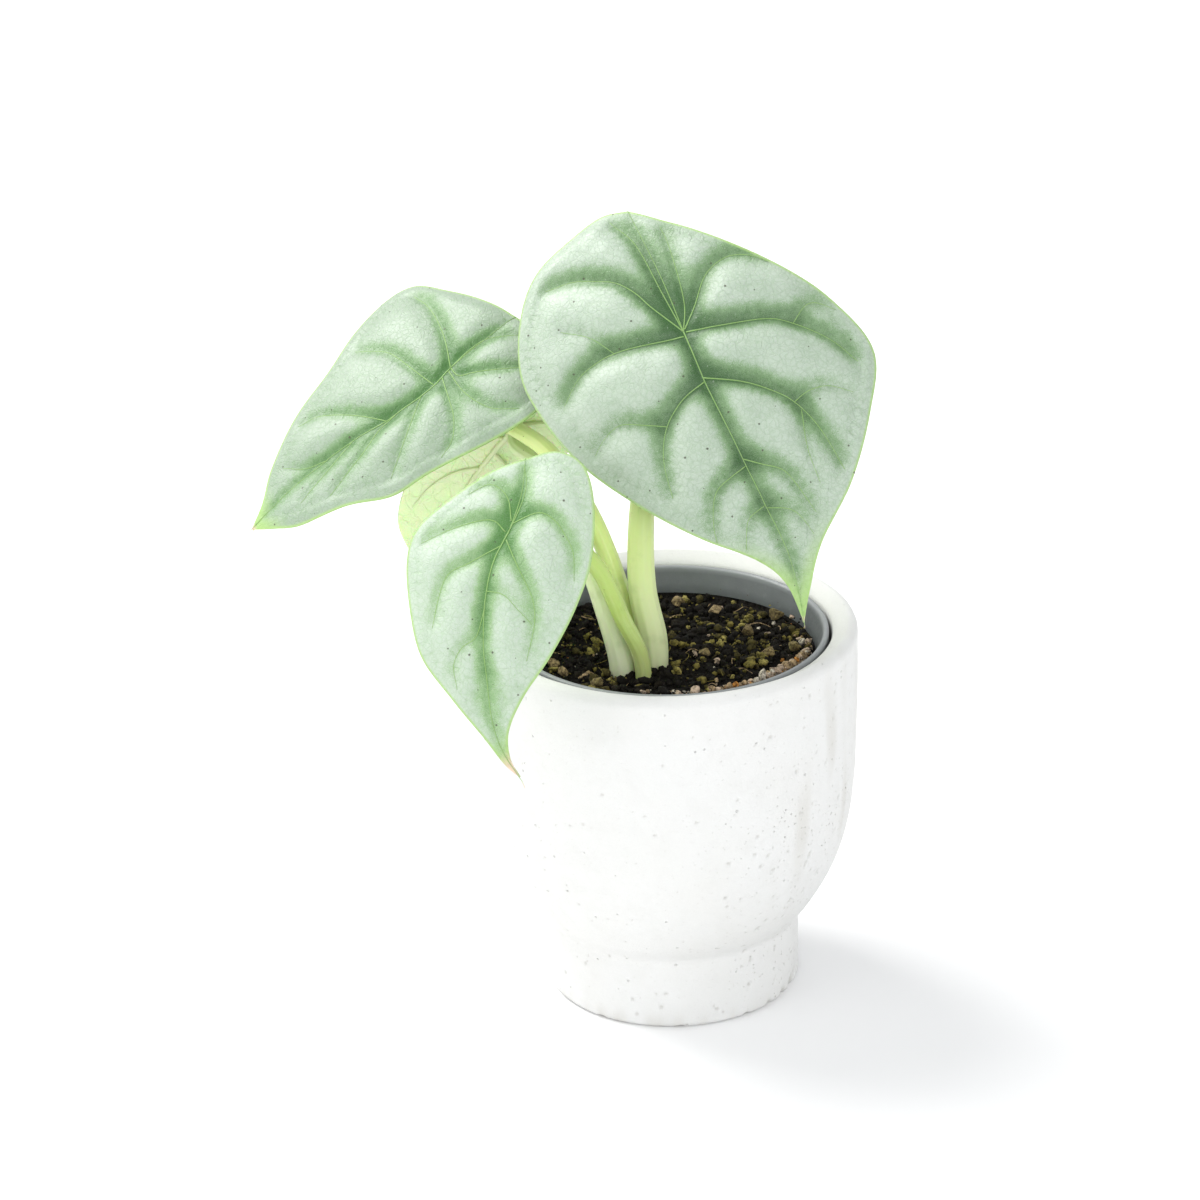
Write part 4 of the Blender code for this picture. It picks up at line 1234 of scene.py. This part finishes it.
# The foot is chipped at its lower edge, most of all on the right.
for side, height, wide, deep in (
    (-22, 1.4, 2.2, 0.9), (-31, 0.6, 1.9, 0.8), (-42, 0.4, 1.5, 0.6), (-56, 0.3, 1.3, 0.5),
    (-88, 0.1, 1.4, 0.4), (-126, 0.2, 1.3, 0.4), (20, 0.6, 1.9, 0.6), (-18, 3.6, 1.1, 0.5),
    (140, 0.5, 1.8, 0.6),
):
    pock(side, height, wide, deep)
print("hollowed points:", int((hollow > 0).sum()))

# %% [markdown]
# ## The concrete finish
#
# Sealed white concrete isn't one colour. It has a slow warm and cool drift, a chalky grain, darker grey in
# the bubbles, a few dark specks of sand, and a faint stain where water has run down one side. The bubbles'
# own mask darkens them.

# %% Concrete material and cover pot
concrete = Finish("cast concrete", roughness=0.62, specular=0.35)
concrete.place("pot_mm")
slow = concrete.group(mottle_group, Scale=0.035, Contrast=1.5)
cloud = concrete.group(mottle_group, Scale=0.16, Contrast=1.8)
grain = concrete.noise(2.6, 6.0, 0.75)
chalk = concrete.noise(0.7, 5.0, 0.65)
tone = concrete.mix(slow, (0.745, 0.750, 0.748), (0.712, 0.709, 0.690))
tone = concrete.mix(concrete.step(cloud, 0.4, 1.0, 0.0, 0.5), tone, (0.68, 0.68, 0.665))
tone = concrete.mix(concrete.step(grain, 0.3, 0.8, 0.0, 0.25), tone, (0.62, 0.62, 0.60))
tone = concrete.mix(concrete.number("stain"), tone, (0.43, 0.40, 0.33))
bubbles = concrete.group(specks_group, Scale=0.42, Size=0.13, Share=0.22)
tone = concrete.mix(concrete.times(bubbles, 0.22), tone, (0.42, 0.41, 0.38))
sand = concrete.group(specks_group, Scale=0.9, Size=0.08, Share=0.10)
tone = concrete.mix(concrete.times(sand, 0.28), tone, (0.20, 0.19, 0.16))
fizz = concrete.group(specks_group, Scale=1.15, Size=0.22, Share=0.42)
fizz = concrete.times(fizz, concrete.number("rough"))
tone = concrete.mix(concrete.times(fizz, 0.5), tone, (0.42, 0.39, 0.34))
# Darker inside the bubbles, by their own hollow mask.
darkening_mask = concrete.step(concrete.number("hollow"), 0.15, 0.9, 0.0, 0.34)
tone = concrete.mix(darkening_mask, tone, (0.40, 0.38, 0.34))
concrete.colour(tone)
concrete.roughness(concrete.step(chalk, 0.2, 0.8, 0.48, 0.75))
concrete.bump((chalk, 0.10), (grain, 0.07), (bubbles, -0.25), (fizz, -0.35))

pot = make_piece("cover_pot_cast", pot_points, pot_faces, [concrete.material], ["cover_pot"])
mark(pot, "pot_mm", pot_points)
mark(pot, "hollow", hollow)
angles = np.degrees(np.arctan2(pot_points[:, 1], pot_points[:, 0]))
run = 0.5 + 0.5 * ripple(np.column_stack([angles * 0.8, pot_points[:, 2] * 0.16]), 5.0, 7.7)
stain = np.exp(-((angles + 30) / 26) ** 2) * np.exp(-((pot_points[:, 2] - 62) / 24) ** 2)
stain = stain * ease(run, 0.45, 0.85) * 0.42
stain += 0.30 * np.exp(-(pot_points[:, 2] / 3.0) ** 2) * ease(run, 0.3, 0.8)
mark(pot, "stain", np.where(is_outside, stain, 0.05))
rough = np.exp(-((angles + 32) / 34) ** 2) * (1 - ease(pot_points[:, 2], 55.0, 88.0))
mark(pot, "rough", 0.12 + 0.88 * rough * ease(ripple(pot_points, 9.0, 3.0), -0.5, 0.3))
print(pot.name, len(pot.data.polygons), "faces")

# %% [markdown]
# ## The nursery pot
#
# This is the thin plastic pot that the plant was sold in. It slopes inwards, ends in a rolled lip and
# has holes in its floor. It stands inside the cover pot with a narrow black gap all round. The plastic
# is cheap and dark, with scuffs and a dusting of dry mix on the inside.

# %% Nursery pot
INNER_FLOOR, INNER_TOP, INNER_WALL = POT_FLOOR + 0.3, 93.2, 1.0
INNER_LIP_RADIUS, INNER_TOP_RADIUS, INNER_BASE_RADIUS, INNER_LIP_DROP = 38.9, 37.1, 28.0, 4.4
DRAIN_RADIUS, DRAIN_RING_RADIUS = 3.0, 17.0


plastic = Finish("dark nursery plastic", roughness=0.42, specular=0.5)
plastic.place("pot_mm")
scuff = plastic.noise(0.5, 6.0, 0.7)
haze = plastic.group(mottle_group, Scale=0.08, Contrast=1.6)
tone = plastic.mix(haze, (0.120, 0.130, 0.136), (0.190, 0.205, 0.212))
tone = plastic.mix(plastic.step(scuff, 0.55, 0.8, 0.0, 0.5), tone, (0.27, 0.285, 0.285))
# The top of the lip is painted lighter grey, a painted highlight where the light falls on it.
tone = plastic.mix(plastic.number("lip"), tone, (0.30, 0.315, 0.325))
dust = plastic.group(specks_group, Scale=0.8, Size=0.12, Share=0.35)
tone = plastic.mix(plastic.times(dust, plastic.number("dust")), tone, (0.10, 0.065, 0.035))
plastic.colour(tone)
plastic.roughness(plastic.step(scuff, 0.3, 0.8, 0.32, 0.6))
plastic.bump((scuff, 0.05), (plastic.noise(3.5, 3.0), 0.03))
print(plastic.material.name, len(plastic.tree.nodes), "nodes")

# %% Turn the nursery pot
shoulder_height = INNER_TOP - INNER_LIP_DROP
profile = [
    (0.0, INNER_FLOOR), (INNER_BASE_RADIUS - 1.5, INNER_FLOOR), (INNER_BASE_RADIUS, INNER_FLOOR + 1.5),
    (INNER_TOP_RADIUS, shoulder_height), (INNER_LIP_RADIUS, shoulder_height + 0.5),
    (INNER_LIP_RADIUS, INNER_TOP - 0.4), (INNER_LIP_RADIUS - 0.12, INNER_TOP - 0.12),
    (INNER_LIP_RADIUS - 0.4, INNER_TOP), (INNER_LIP_RADIUS - 1.0, INNER_TOP),
    (INNER_LIP_RADIUS - 1.28, INNER_TOP - 0.12), (INNER_LIP_RADIUS - 1.4, INNER_TOP - 0.4),
    (INNER_TOP_RADIUS - INNER_WALL, shoulder_height - 0.3),
    (INNER_BASE_RADIUS - INNER_WALL, INNER_FLOOR + 2.4),
    (INNER_BASE_RADIUS - INNER_WALL - 1.0, INNER_FLOOR + 1.2), (0.0, INNER_FLOOR + 1.2),
]
bowl_points, bowl_faces = turned(dense(profile, 0.9), 200)
nursery = make_piece(
    "nursery_pot_shell", bowl_points, bowl_faces, [plastic.material], ["nursery_pot"]
)
mark(nursery, "pot_mm", bowl_points)
# This mask paints the lip's top lighter, as a painted highlight.
mark(nursery, "lip", 0.8 * ease(bowl_points[:, 2], INNER_TOP - 1.0, INNER_TOP - 0.2))
mark(nursery, "dust", 0.9 * (1 - ease(bowl_points[:, 2], 88.0, 92.0)))
for hole in range(5):
    turn = 2 * math.pi * (hole + 0.31) / 5
    bpy.ops.mesh.primitive_cylinder_add(vertices=48, radius=DRAIN_RADIUS * MM, depth=8 * MM, location=(
        DRAIN_RING_RADIUS * math.cos(turn) * MM, DRAIN_RING_RADIUS * math.sin(turn) * MM, INNER_FLOOR * MM
    ))
    drill = bpy.context.object
    cutter = nursery.modifiers.new(f"drain hole {hole + 1}", "BOOLEAN")
    cutter.object = drill
    with bpy.context.temp_override(object=nursery, active_object=nursery):
        bpy.ops.object.modifier_apply(modifier=cutter.name)
    bpy.data.objects.remove(drill)
print(nursery.name, len(nursery.data.polygons), "faces")

# %% [markdown]
# ## The potting mix
#
# Peat-based mix is thousands of crumbs, so it gets thousands of crumbs. The base is one closed lumpy
# body that fills the pot. On top lie crumbs of many sizes, loose fibres and a few pale, orange and
# yellow grains of bark and pumice. A crumb is a small ball pushed in and out by noise. Each one also
# carries its own tint, so that a single material can colour all of them.

# %% The mix's materials
MIX_TOP, MIX_SLOPE, MIX_BUMP = 87.8, 0.045, 0.7


def mix_height(x, y):
    """Height of the mix's surface in mm: a gentle slope with small lumps."""
    lumps = noise.noise(Vector((x * 0.16, y * 0.16, 3.7)))
    fine = noise.noise(Vector((x * 0.45, y * 0.45, 8.1)))
    return MIX_TOP - MIX_SLOPE * y + MIX_BUMP * (1.5 * lumps + 0.6 * fine)


peat = Finish("peat mix", roughness=0.95, specular=0.2)
peat.place("crumb_mm")
grain = peat.noise(1.1, 6.0, 0.75)
fleck = peat.noise(4.5, 4.0, 0.7)
crumb_colour = peat.ramp(peat.number("tint"), (
    (0.0, (0.006, 0.005, 0.004)), (0.34, (0.010, 0.008, 0.006)), (0.62, (0.020, 0.015, 0.009)),
    (0.76, (0.090, 0.074, 0.022)), (0.82, (0.260, 0.215, 0.055)), (0.88, (0.460, 0.390, 0.120)),
    (0.91, (0.560, 0.400, 0.230)), (0.935, (0.760, 0.580, 0.430)), (0.97, (0.700, 0.300, 0.070)),
    (0.98, (0.880, 0.790, 0.650)),
))
tone = peat.mix(peat.step(grain, 0.38, 0.66, 0.0, 0.85), crumb_colour, (0.010, 0.008, 0.005))
tone = peat.mix(peat.step(fleck, 0.62, 0.80, 0.0, 0.45), tone, (0.17, 0.11, 0.065))
peat.colour(tone)
peat.bump((grain, 0.35), (fleck, 0.12))
print("mix height at the middle:", round(mix_height(0, 0), 1), "mm")

# %% The mix's body and top
def mix_wall_radius(height):
    share = (height - INNER_FLOOR) / (shoulder_height - INNER_FLOOR)
    return INNER_BASE_RADIUS + (INNER_TOP_RADIUS - INNER_BASE_RADIUS) * share - INNER_WALL - 0.4


low = INNER_FLOOR + 1.5
wall = [(0.0, low), (mix_wall_radius(low + 2.0) - 1.4, low), (mix_wall_radius(low + 2.0), low + 1.4)]
wall.append((mix_wall_radius(MIX_TOP), MIX_TOP - 0.8))
side_rows = dense(wall, 1.6)
top_rows = [(radius, MIX_TOP) for radius in np.linspace(mix_wall_radius(MIX_TOP) - 0.3, 0.5, 110)]
mix_rows = np.vstack([side_rows, top_rows, [(0.0, MIX_TOP)]])
mix_points, mix_faces = turned(mix_rows, 300)
upper = mix_points[:, 2] > MIX_TOP - 0.01
surface = mix_points[upper]
relief = ripple(surface, 2.2, 6.1) * 0.45 + ripple(surface, 0.9, 2.2) * 0.25
mix_points[upper, 2] = [mix_height(x, y) for x, y, _ in surface] + relief - 0.35
low_part = ~upper
shrink = 0.006 * (0.5 + 0.5 * ripple(mix_points[low_part], 3.0, 1.1))[:, None]
mix_points[low_part] *= 1 - shrink * [[1, 1, 0]]
mix_body = make_piece("potting_mix_body", mix_points, mix_faces, [peat.material], ["potting_mix"])
mark(mix_body, "crumb_mm", mix_points)
mark(mix_body, "tint", 0.30 + 0.45 * ripple(mix_points, 1.4, 9.4))
print(mix_body.name, len(mix_points), "points")


# %% Crumbs, grains and fibres
def rough_ball(subdivisions, seed, rough):
    """A unit ball pushed in and out by noise, as (points, faces)."""
    ball = bmesh.new()
    bmesh.ops.create_icosphere(ball, subdivisions=subdivisions, radius=1.0)
    points = np.array([vert.co for vert in ball.verts])
    faces = [[vert.index for vert in face.verts] for face in ball.faces]
    ball.free()
    swell = 1 + rough * ripple(points, 0.75, seed * 7.3) + 0.5 * rough * ripple(points, 0.3, seed * 3.1)
    return points * swell[:, None], faces


def turned_about(points, angles):
    """The points turned by three angles, about X, Y and Z in that order."""
    for axis, angle in enumerate(angles):
        c, s = math.cos(angle), math.sin(angle)
        a, b = [(1, 2), (2, 0), (0, 1)][axis]
        points = points.copy()
        points[:, [a, b]] = points[:, [a, b]] @ np.array([[c, s], [-s, c]])
    return points


def in_a_stalk(x, y):
    """Whether a stalk stands here."""
    for _, _, knots in PETIOLES.values():
        if math.hypot(x - knots[1][0], y - knots[1][1]) < knots[1][3] - 0.3:
            return True
    return False


# The first crumbs lie anywhere, the next ones along the front wall, and the last ones round the stalks.
ANYWHERE, WITH_DRIFT, CRUMBS = 3000, 4000, 4400
small_balls = [rough_ball(2, seed, 0.62) for seed in range(12)]
parts, tints = [], []
reach = mix_wall_radius(MIX_TOP) - 0.5
while len(parts) < CRUMBS:
    radius, turn = reach * math.sqrt(dice.random()), dice.uniform(0, 2 * math.pi)
    if len(parts) > ANYWHERE:
        radius, turn = reach - abs(dice.gauss(0, 1.7)), math.radians(dice.gauss(-46, 25)) % (2 * math.pi)
    if len(parts) > WITH_DRIFT:
        # Crumbs lie close against the foot of each stalk.
        knot = dice.choice([knots[1] for _, _, knots in PETIOLES.values()])
        angle, out = dice.uniform(0, 2 * math.pi), knot[3] + dice.uniform(-0.1, 0.9)
        x, y = knot[0] + out * math.cos(angle), knot[1] + out * math.sin(angle)
        radius, turn = math.hypot(x, y), math.atan2(y, x) % (2 * math.pi)
    x, y = radius * math.cos(turn), radius * math.sin(turn)
    if in_a_stalk(x, y):
        continue
    size = 0.24 + 1.05 * dice.random() ** 3.6
    if radius + size > reach:
        continue
    shape, faces = small_balls[dice.randrange(12)]
    stretch = [dice.uniform(0.7, 1.35), dice.uniform(0.6, 1.1), dice.uniform(0.5, 0.95)]
    angles = [dice.uniform(-0.6, 0.6), dice.uniform(-0.6, 0.6), dice.uniform(0, 6.28)]
    points = turned_about(shape * stretch, angles) * size
    height = mix_height(x, y) + size * dice.uniform(-0.15, 0.55)
    if len(parts) > ANYWHERE:
        height += dice.uniform(0.0, 2.4 if radius > reach - 1.8 else 0.9)
    points += [x, y, height]
    # A drift of pale bark dust lies against the wall, in front and to the right.
    heading = math.degrees(turn if turn < math.pi else turn - 2 * math.pi)
    drift = math.exp(-((heading + 48) / 34) ** 2)
    pale = drift * float(ease(np.array([radius]), reach - 5, reach - 1)[0]) > dice.random() * 0.5
    parts.append((points, faces, points * 1.0))
    tint = dice.random()
    if noise.noise(Vector((x / 7, y / 7, 2.5))) > 0.16 and tint > 0.35:
        tint = 0.76 + 0.15 * dice.random()
    elif tint > 0.74 and dice.random() < 0.6:
        tint -= 0.4
    tints.append(np.full(len(points), 0.912 + 0.088 * dice.random() if pale else tint))
points, faces, marks = joined(parts)
crumbs = make_piece("potting_mix_crumbs", points, faces, [peat.material], ["potting_mix"])
mark(crumbs, "crumb_mm", marks)
mark(crumbs, "tint", np.concatenate(tints))
print(crumbs.name, len(parts), "crumbs")

parts, tints = [], []
for _ in range(150):
    radius, turn = (reach - 3) * math.sqrt(dice.random()), dice.uniform(0, 2 * math.pi)
    heading, length = dice.uniform(0, 2 * math.pi), dice.uniform(1.5, 6.5)
    bend, lift = dice.uniform(-0.25, 0.25), dice.uniform(0.1, 0.9)
    path = []
    x, y = radius * math.cos(turn), radius * math.sin(turn)
    for step in range(9):
        if math.hypot(x, y) > reach - 0.4 or in_a_stalk(x, y):
            break
        path.append((x, y, mix_height(x, y) + 0.35 + lift * math.sin(step / 8 * math.pi)))
        heading += bend
        x += math.cos(heading) * length / 8
        y += math.sin(heading) * length / 8
    if len(path) < 5:
        continue
    thick = dice.uniform(0.05, 0.17)
    made = tube_mesh(path, np.linspace(thick, thick * 0.5, len(path)), 6)
    parts.append((made[0], made[1], made[0] * 1.0))
    tints.append(np.full(len(made[0]), dice.choice([0.5, 0.7, 0.8, 0.88, 0.93])))
points, faces, marks = joined(parts)
fibres = make_piece("potting_mix_fibres", points, faces, [peat.material], ["potting_mix"])
mark(fibres, "crumb_mm", marks)
mark(fibres, "tint", np.concatenate(tints))
print(fibres.name, len(parts), "fibres")

# %% [markdown]
# ## Loose granules
#
# Ten larger pieces of bark and pumice lie on top. Each is its own piece, because each can be picked
# up. They are broken lumps with flat facets and a powdery face, not pebbles. Pale flecks on them are painted
# highlights.

# %% Granules
grit = Finish("bark and pumice", roughness=0.85, specular=0.3)
grit.place("crumb_mm")
coarse = grit.noise(1.4, 5.0, 0.7)
fine = grit.noise(6.0, 3.0, 0.7)
ramp = node(grit.tree, "ShaderNodeValToRGB")
grit.tree.links.new(grit.number("tint"), ramp.inputs[0])
ramp.color_ramp.elements[0].color = (0.20, 0.15, 0.06, 1.0)
ramp.color_ramp.elements[1].color = (0.46, 0.33, 0.18, 1.0)
ramp.color_ramp.elements.new(0.5).color = (0.30, 0.24, 0.09, 1.0)
tone = grit.mix(grit.step(coarse, 0.35, 0.62, 0.0, 0.85), ramp.outputs[0], (0.05, 0.036, 0.016))
# Pale flecks from the fine noise are painted highlights.
tone = grit.mix(grit.step(fine, 0.6, 0.8, 0.0, 0.5), tone, (0.55, 0.45, 0.30))
grit.colour(tone)
grit.bump((coarse, 0.3), (fine, 0.1))
for number in range(1, 11):
    plain = f"granule_{number:02d}"
    low, high = (np.array(corner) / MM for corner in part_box(plain))
    shape, faces = rough_ball(4, number + 20, 0.55)
    facets = [unit([dice.gauss(0, 1) for _ in range(3)]) for _ in range(9)]
    for facet in facets:
        over = np.clip(shape @ facet - 0.66, 0, None)
        shape = shape - over[:, None] * facet
    shape = (shape - shape.min(axis=0)) / np.ptp(shape, axis=0)
    points = low + shape * (high - low) - [0, 0, 0.25]
    lump = make_piece(plain + "_lump", points, faces, [grit.material], [plain])
    mark(lump, "crumb_mm", points)
    mark(lump, "tint", np.full(len(points), dice.random()))
print("granules: 10")

# %% [markdown]
# ## Under the surface
#
# The corm is the swollen stem that the plant regrows from, and six fleshy roots leave it. None of it
# shows, but a part that can be taken apart should be right inside as well. The corm is ringed with
# old leaf scars. The roots are pale, slightly knotted and rounded at the tip.

# %% Corm and roots
CORM_CENTRE = (-7.7, -14.4)
CORM_PROFILE = [(0.0, 65.0), (5.0, 66.3), (8.0, 70.0), (9.0, 75.0), (8.8, 80.0), (7.6, 84.1), (0.0, 84.1)]
ROOTS = {
    "root_1": [(-13, -15, 74), (-22, -20, 66), (-24, -21, 50), (-16, -16, 36)],
    "root_2": [(-8, -18, 74), (-12, -25, 64), (-8, -23, 46), (-4, -15, 33)],
    "root_3": [(-12, -13, 76), (-23, -9, 70), (-25, -3, 54), (-19, 2, 40)],
    "root_4": [(-8, -10, 75), (-10, 1, 70), (-12, 13, 58), (-6, 20, 42)],
    "root_5": [(-4, -12, 77), (8, -6, 72), (19, 0, 60), (20, 7, 44)],
    "root_6": [(-8, -14, 70), (-5, -8, 58), (1, 0, 44), (7, 3, 31)],
}


def buried_finish(name, base, dark):
    finish = Finish(name, roughness=0.75, specular=0.3, subsurface=0.1)
    finish.place("part_mm")
    rough = finish.noise(0.8, 5.0, 0.7)
    scurf = finish.noise(3.0, 4.0, 0.7)
    colour = finish.mix(finish.step(rough, 0.35, 0.7), base, dark)
    darkening_mask = finish.group(specks_group, Scale=1.1, Size=0.16, Share=0.4)
    finish.colour(finish.mix(finish.times(darkening_mask, 0.7), colour, (0.03, 0.02, 0.012)))
    finish.bump((rough, 0.3), (scurf, 0.12))
    return finish.material


corm_points, corm_faces = turned(dense(CORM_PROFILE, 0.25), 160)
scars = 0.02 * np.sin(corm_points[:, 2] * 3.4) + 0.015 * ripple(corm_points, 2.5, 5.0)
corm_points[:, :2] *= (0.97 + scars)[:, None]
corm_points[:, :2] += CORM_CENTRE
corm = make_piece(
    "corm_ringed", corm_points, corm_faces,
    [buried_finish("corm skin", (0.30, 0.19, 0.10), (0.14, 0.08, 0.04))], ["corm"],
)
mark(corm, "part_mm", corm_points)
root_skin = buried_finish("root skin", (0.70, 0.60, 0.44), (0.50, 0.38, 0.24))
crown = np.array([*CORM_CENTRE, 75.0])
for name, knots in ROOTS.items():
    low, high = (np.array(corner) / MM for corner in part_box(name))
    curve = walk(smooth_curve(knots), 120)
    curve = walk(curve[np.linalg.norm(curve - crown, axis=1) > 11.0], 110)
    radii = np.linspace(0.95, 0.62, 110) * (1 + 0.10 * ripple(curve, 2.6, 4.0))
    radii *= np.sqrt(np.clip(1 - ((np.arange(110) - 104) / 6.5).clip(0, None) ** 2, 0.02, 1))
    points, faces, marks = tube_mesh(curve, radii, 24)
    points = np.clip(points, low, high)
    root = make_piece(name + "_knotted", points, faces, [root_skin], [name])
    mark(root, "part_mm", points)
print("corm and roots:", 1 + len(ROOTS))

# %% [markdown]
# ## Floor, light and camera
#
# The plant stands on a white floor that curves up into a white wall all round, with no visible
# corner. The main soft light comes from above on the left, a little from behind, so the puffed panels
# of the leaves throw soft shade into their creases. The white room fills the rest. The camera is a
# long lens that looks down a little, so the pot's rim and the mix can be seen.

# %% Floor
white = Finish("white floor", roughness=0.7, specular=0.2)
ground = node(white.tree, "ShaderNodeTexCoord").outputs["Object"]
faint = noise_node(white.tree, ground, 3.0, 2.0)
white.colour(white.mix(faint, (0.93, 0.93, 0.93), (0.955, 0.955, 0.955)))
sweep = [(0.4, 0.0), (0.8, 0.0), (1.1, 0.0)] + [
    (1.1 + 0.9 * math.sin(a), 0.9 - 0.9 * math.cos(a)) for a in np.linspace(0.05, math.pi / 2, 24)
]
turns = [(math.cos(a), math.sin(a)) for a in np.linspace(0, 2 * math.pi, 96, endpoint=False)]
floor_points = [(r * x, r * y, z) for r, z in sweep for x, y in turns]
floor_faces = [list(range(96))] + [
    (96 * ring + i, 96 * ring + 96 + i, 96 * ring + 96 + (i + 1) % 96, 96 * ring + (i + 1) % 96)
    for ring in range(len(sweep) - 1) for i in range(96)
]
floor_mesh = bpy.data.meshes.new("floor")
floor_mesh.from_pydata(floor_points, [], floor_faces)
floor_mesh.materials.append(white.material)
floor_mesh.polygons.foreach_set("use_smooth", [True] * len(floor_faces))
floor = bpy.data.objects.new("floor", floor_mesh)
bpy.context.scene.collection.objects.link(floor)
floor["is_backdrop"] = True
print("floor:", len(floor_faces), "faces")

# %% Light
world = bpy.data.worlds.new("white room")
bpy.context.scene.world = world
world.use_nodes = True
world.node_tree.nodes["Background"].inputs[0].default_value = (0.97, 0.985, 1.0, 1.0)
world.node_tree.nodes["Background"].inputs[1].default_value = 0.70


def soft_light(name, spot, size, watts, colour):
    """A square light that faces the plant."""
    lamp = bpy.data.lights.new(name, "AREA")
    lamp.shape, lamp.size, lamp.energy, lamp.color = "SQUARE", size, watts, colour
    light = bpy.data.objects.new(name, lamp)
    light.location = spot
    light.rotation_euler = (Vector((0, 0, 0.09)) - Vector(spot)).to_track_quat("-Z", "Y").to_euler()
    bpy.context.scene.collection.objects.link(light)


soft_light("key light", (-0.62, 0.42, 1.0), 0.75, 14.5, (1.0, 0.99, 0.97))
soft_light("left light", (-1.0, -0.55, 0.45), 0.7, 2.2, (1.0, 0.995, 0.98))
soft_light("front light", (0.55, -1.15, 0.65), 0.9, 6.2, (0.97, 0.985, 1.0))
print("lights:", [lamp.name for lamp in bpy.data.lights])

# %% Camera
CAMERA_ELEVATION, CAMERA_ROLL = math.radians(23.8), math.radians(-1.3)
back = Vector((0, -math.cos(CAMERA_ELEVATION), math.sin(CAMERA_ELEVATION)))
right = Vector((1, 0, 0))
up = right.cross(-back)
cos_roll, sin_roll = math.cos(CAMERA_ROLL), math.sin(CAMERA_ROLL)
turned_right = cos_roll * right + sin_roll * up
turned_up = -sin_roll * right + cos_roll * up
lens = bpy.data.cameras.new("camera")
lens.lens, lens.sensor_width = 124.35, 36.0
camera = bpy.data.objects.new("camera", lens)
camera.rotation_euler = Matrix((turned_right, turned_up, back)).transposed().to_euler()
camera.location = Vector((-0.01633, 0, 0.101)) + back
bpy.context.scene.collection.objects.link(camera)
bpy.context.scene.camera = camera
bpy.context.scene.view_settings.view_transform = "Standard"
print("lens:", round(lens.lens, 1), "mm")

# %% [markdown]
# ## Print the size
#
# The dressed plant should be as big as its plain solids, so both boxes are printed side by side.

# %% Size
drawn_low, drawn_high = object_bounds()
for label, low, high in (("plain solids", solid_low, solid_high), ("dressed plant", drawn_low, drawn_high)):
    print(label, "mm:", [round((b - a) / MM, 1) for a, b in zip(low, high)])
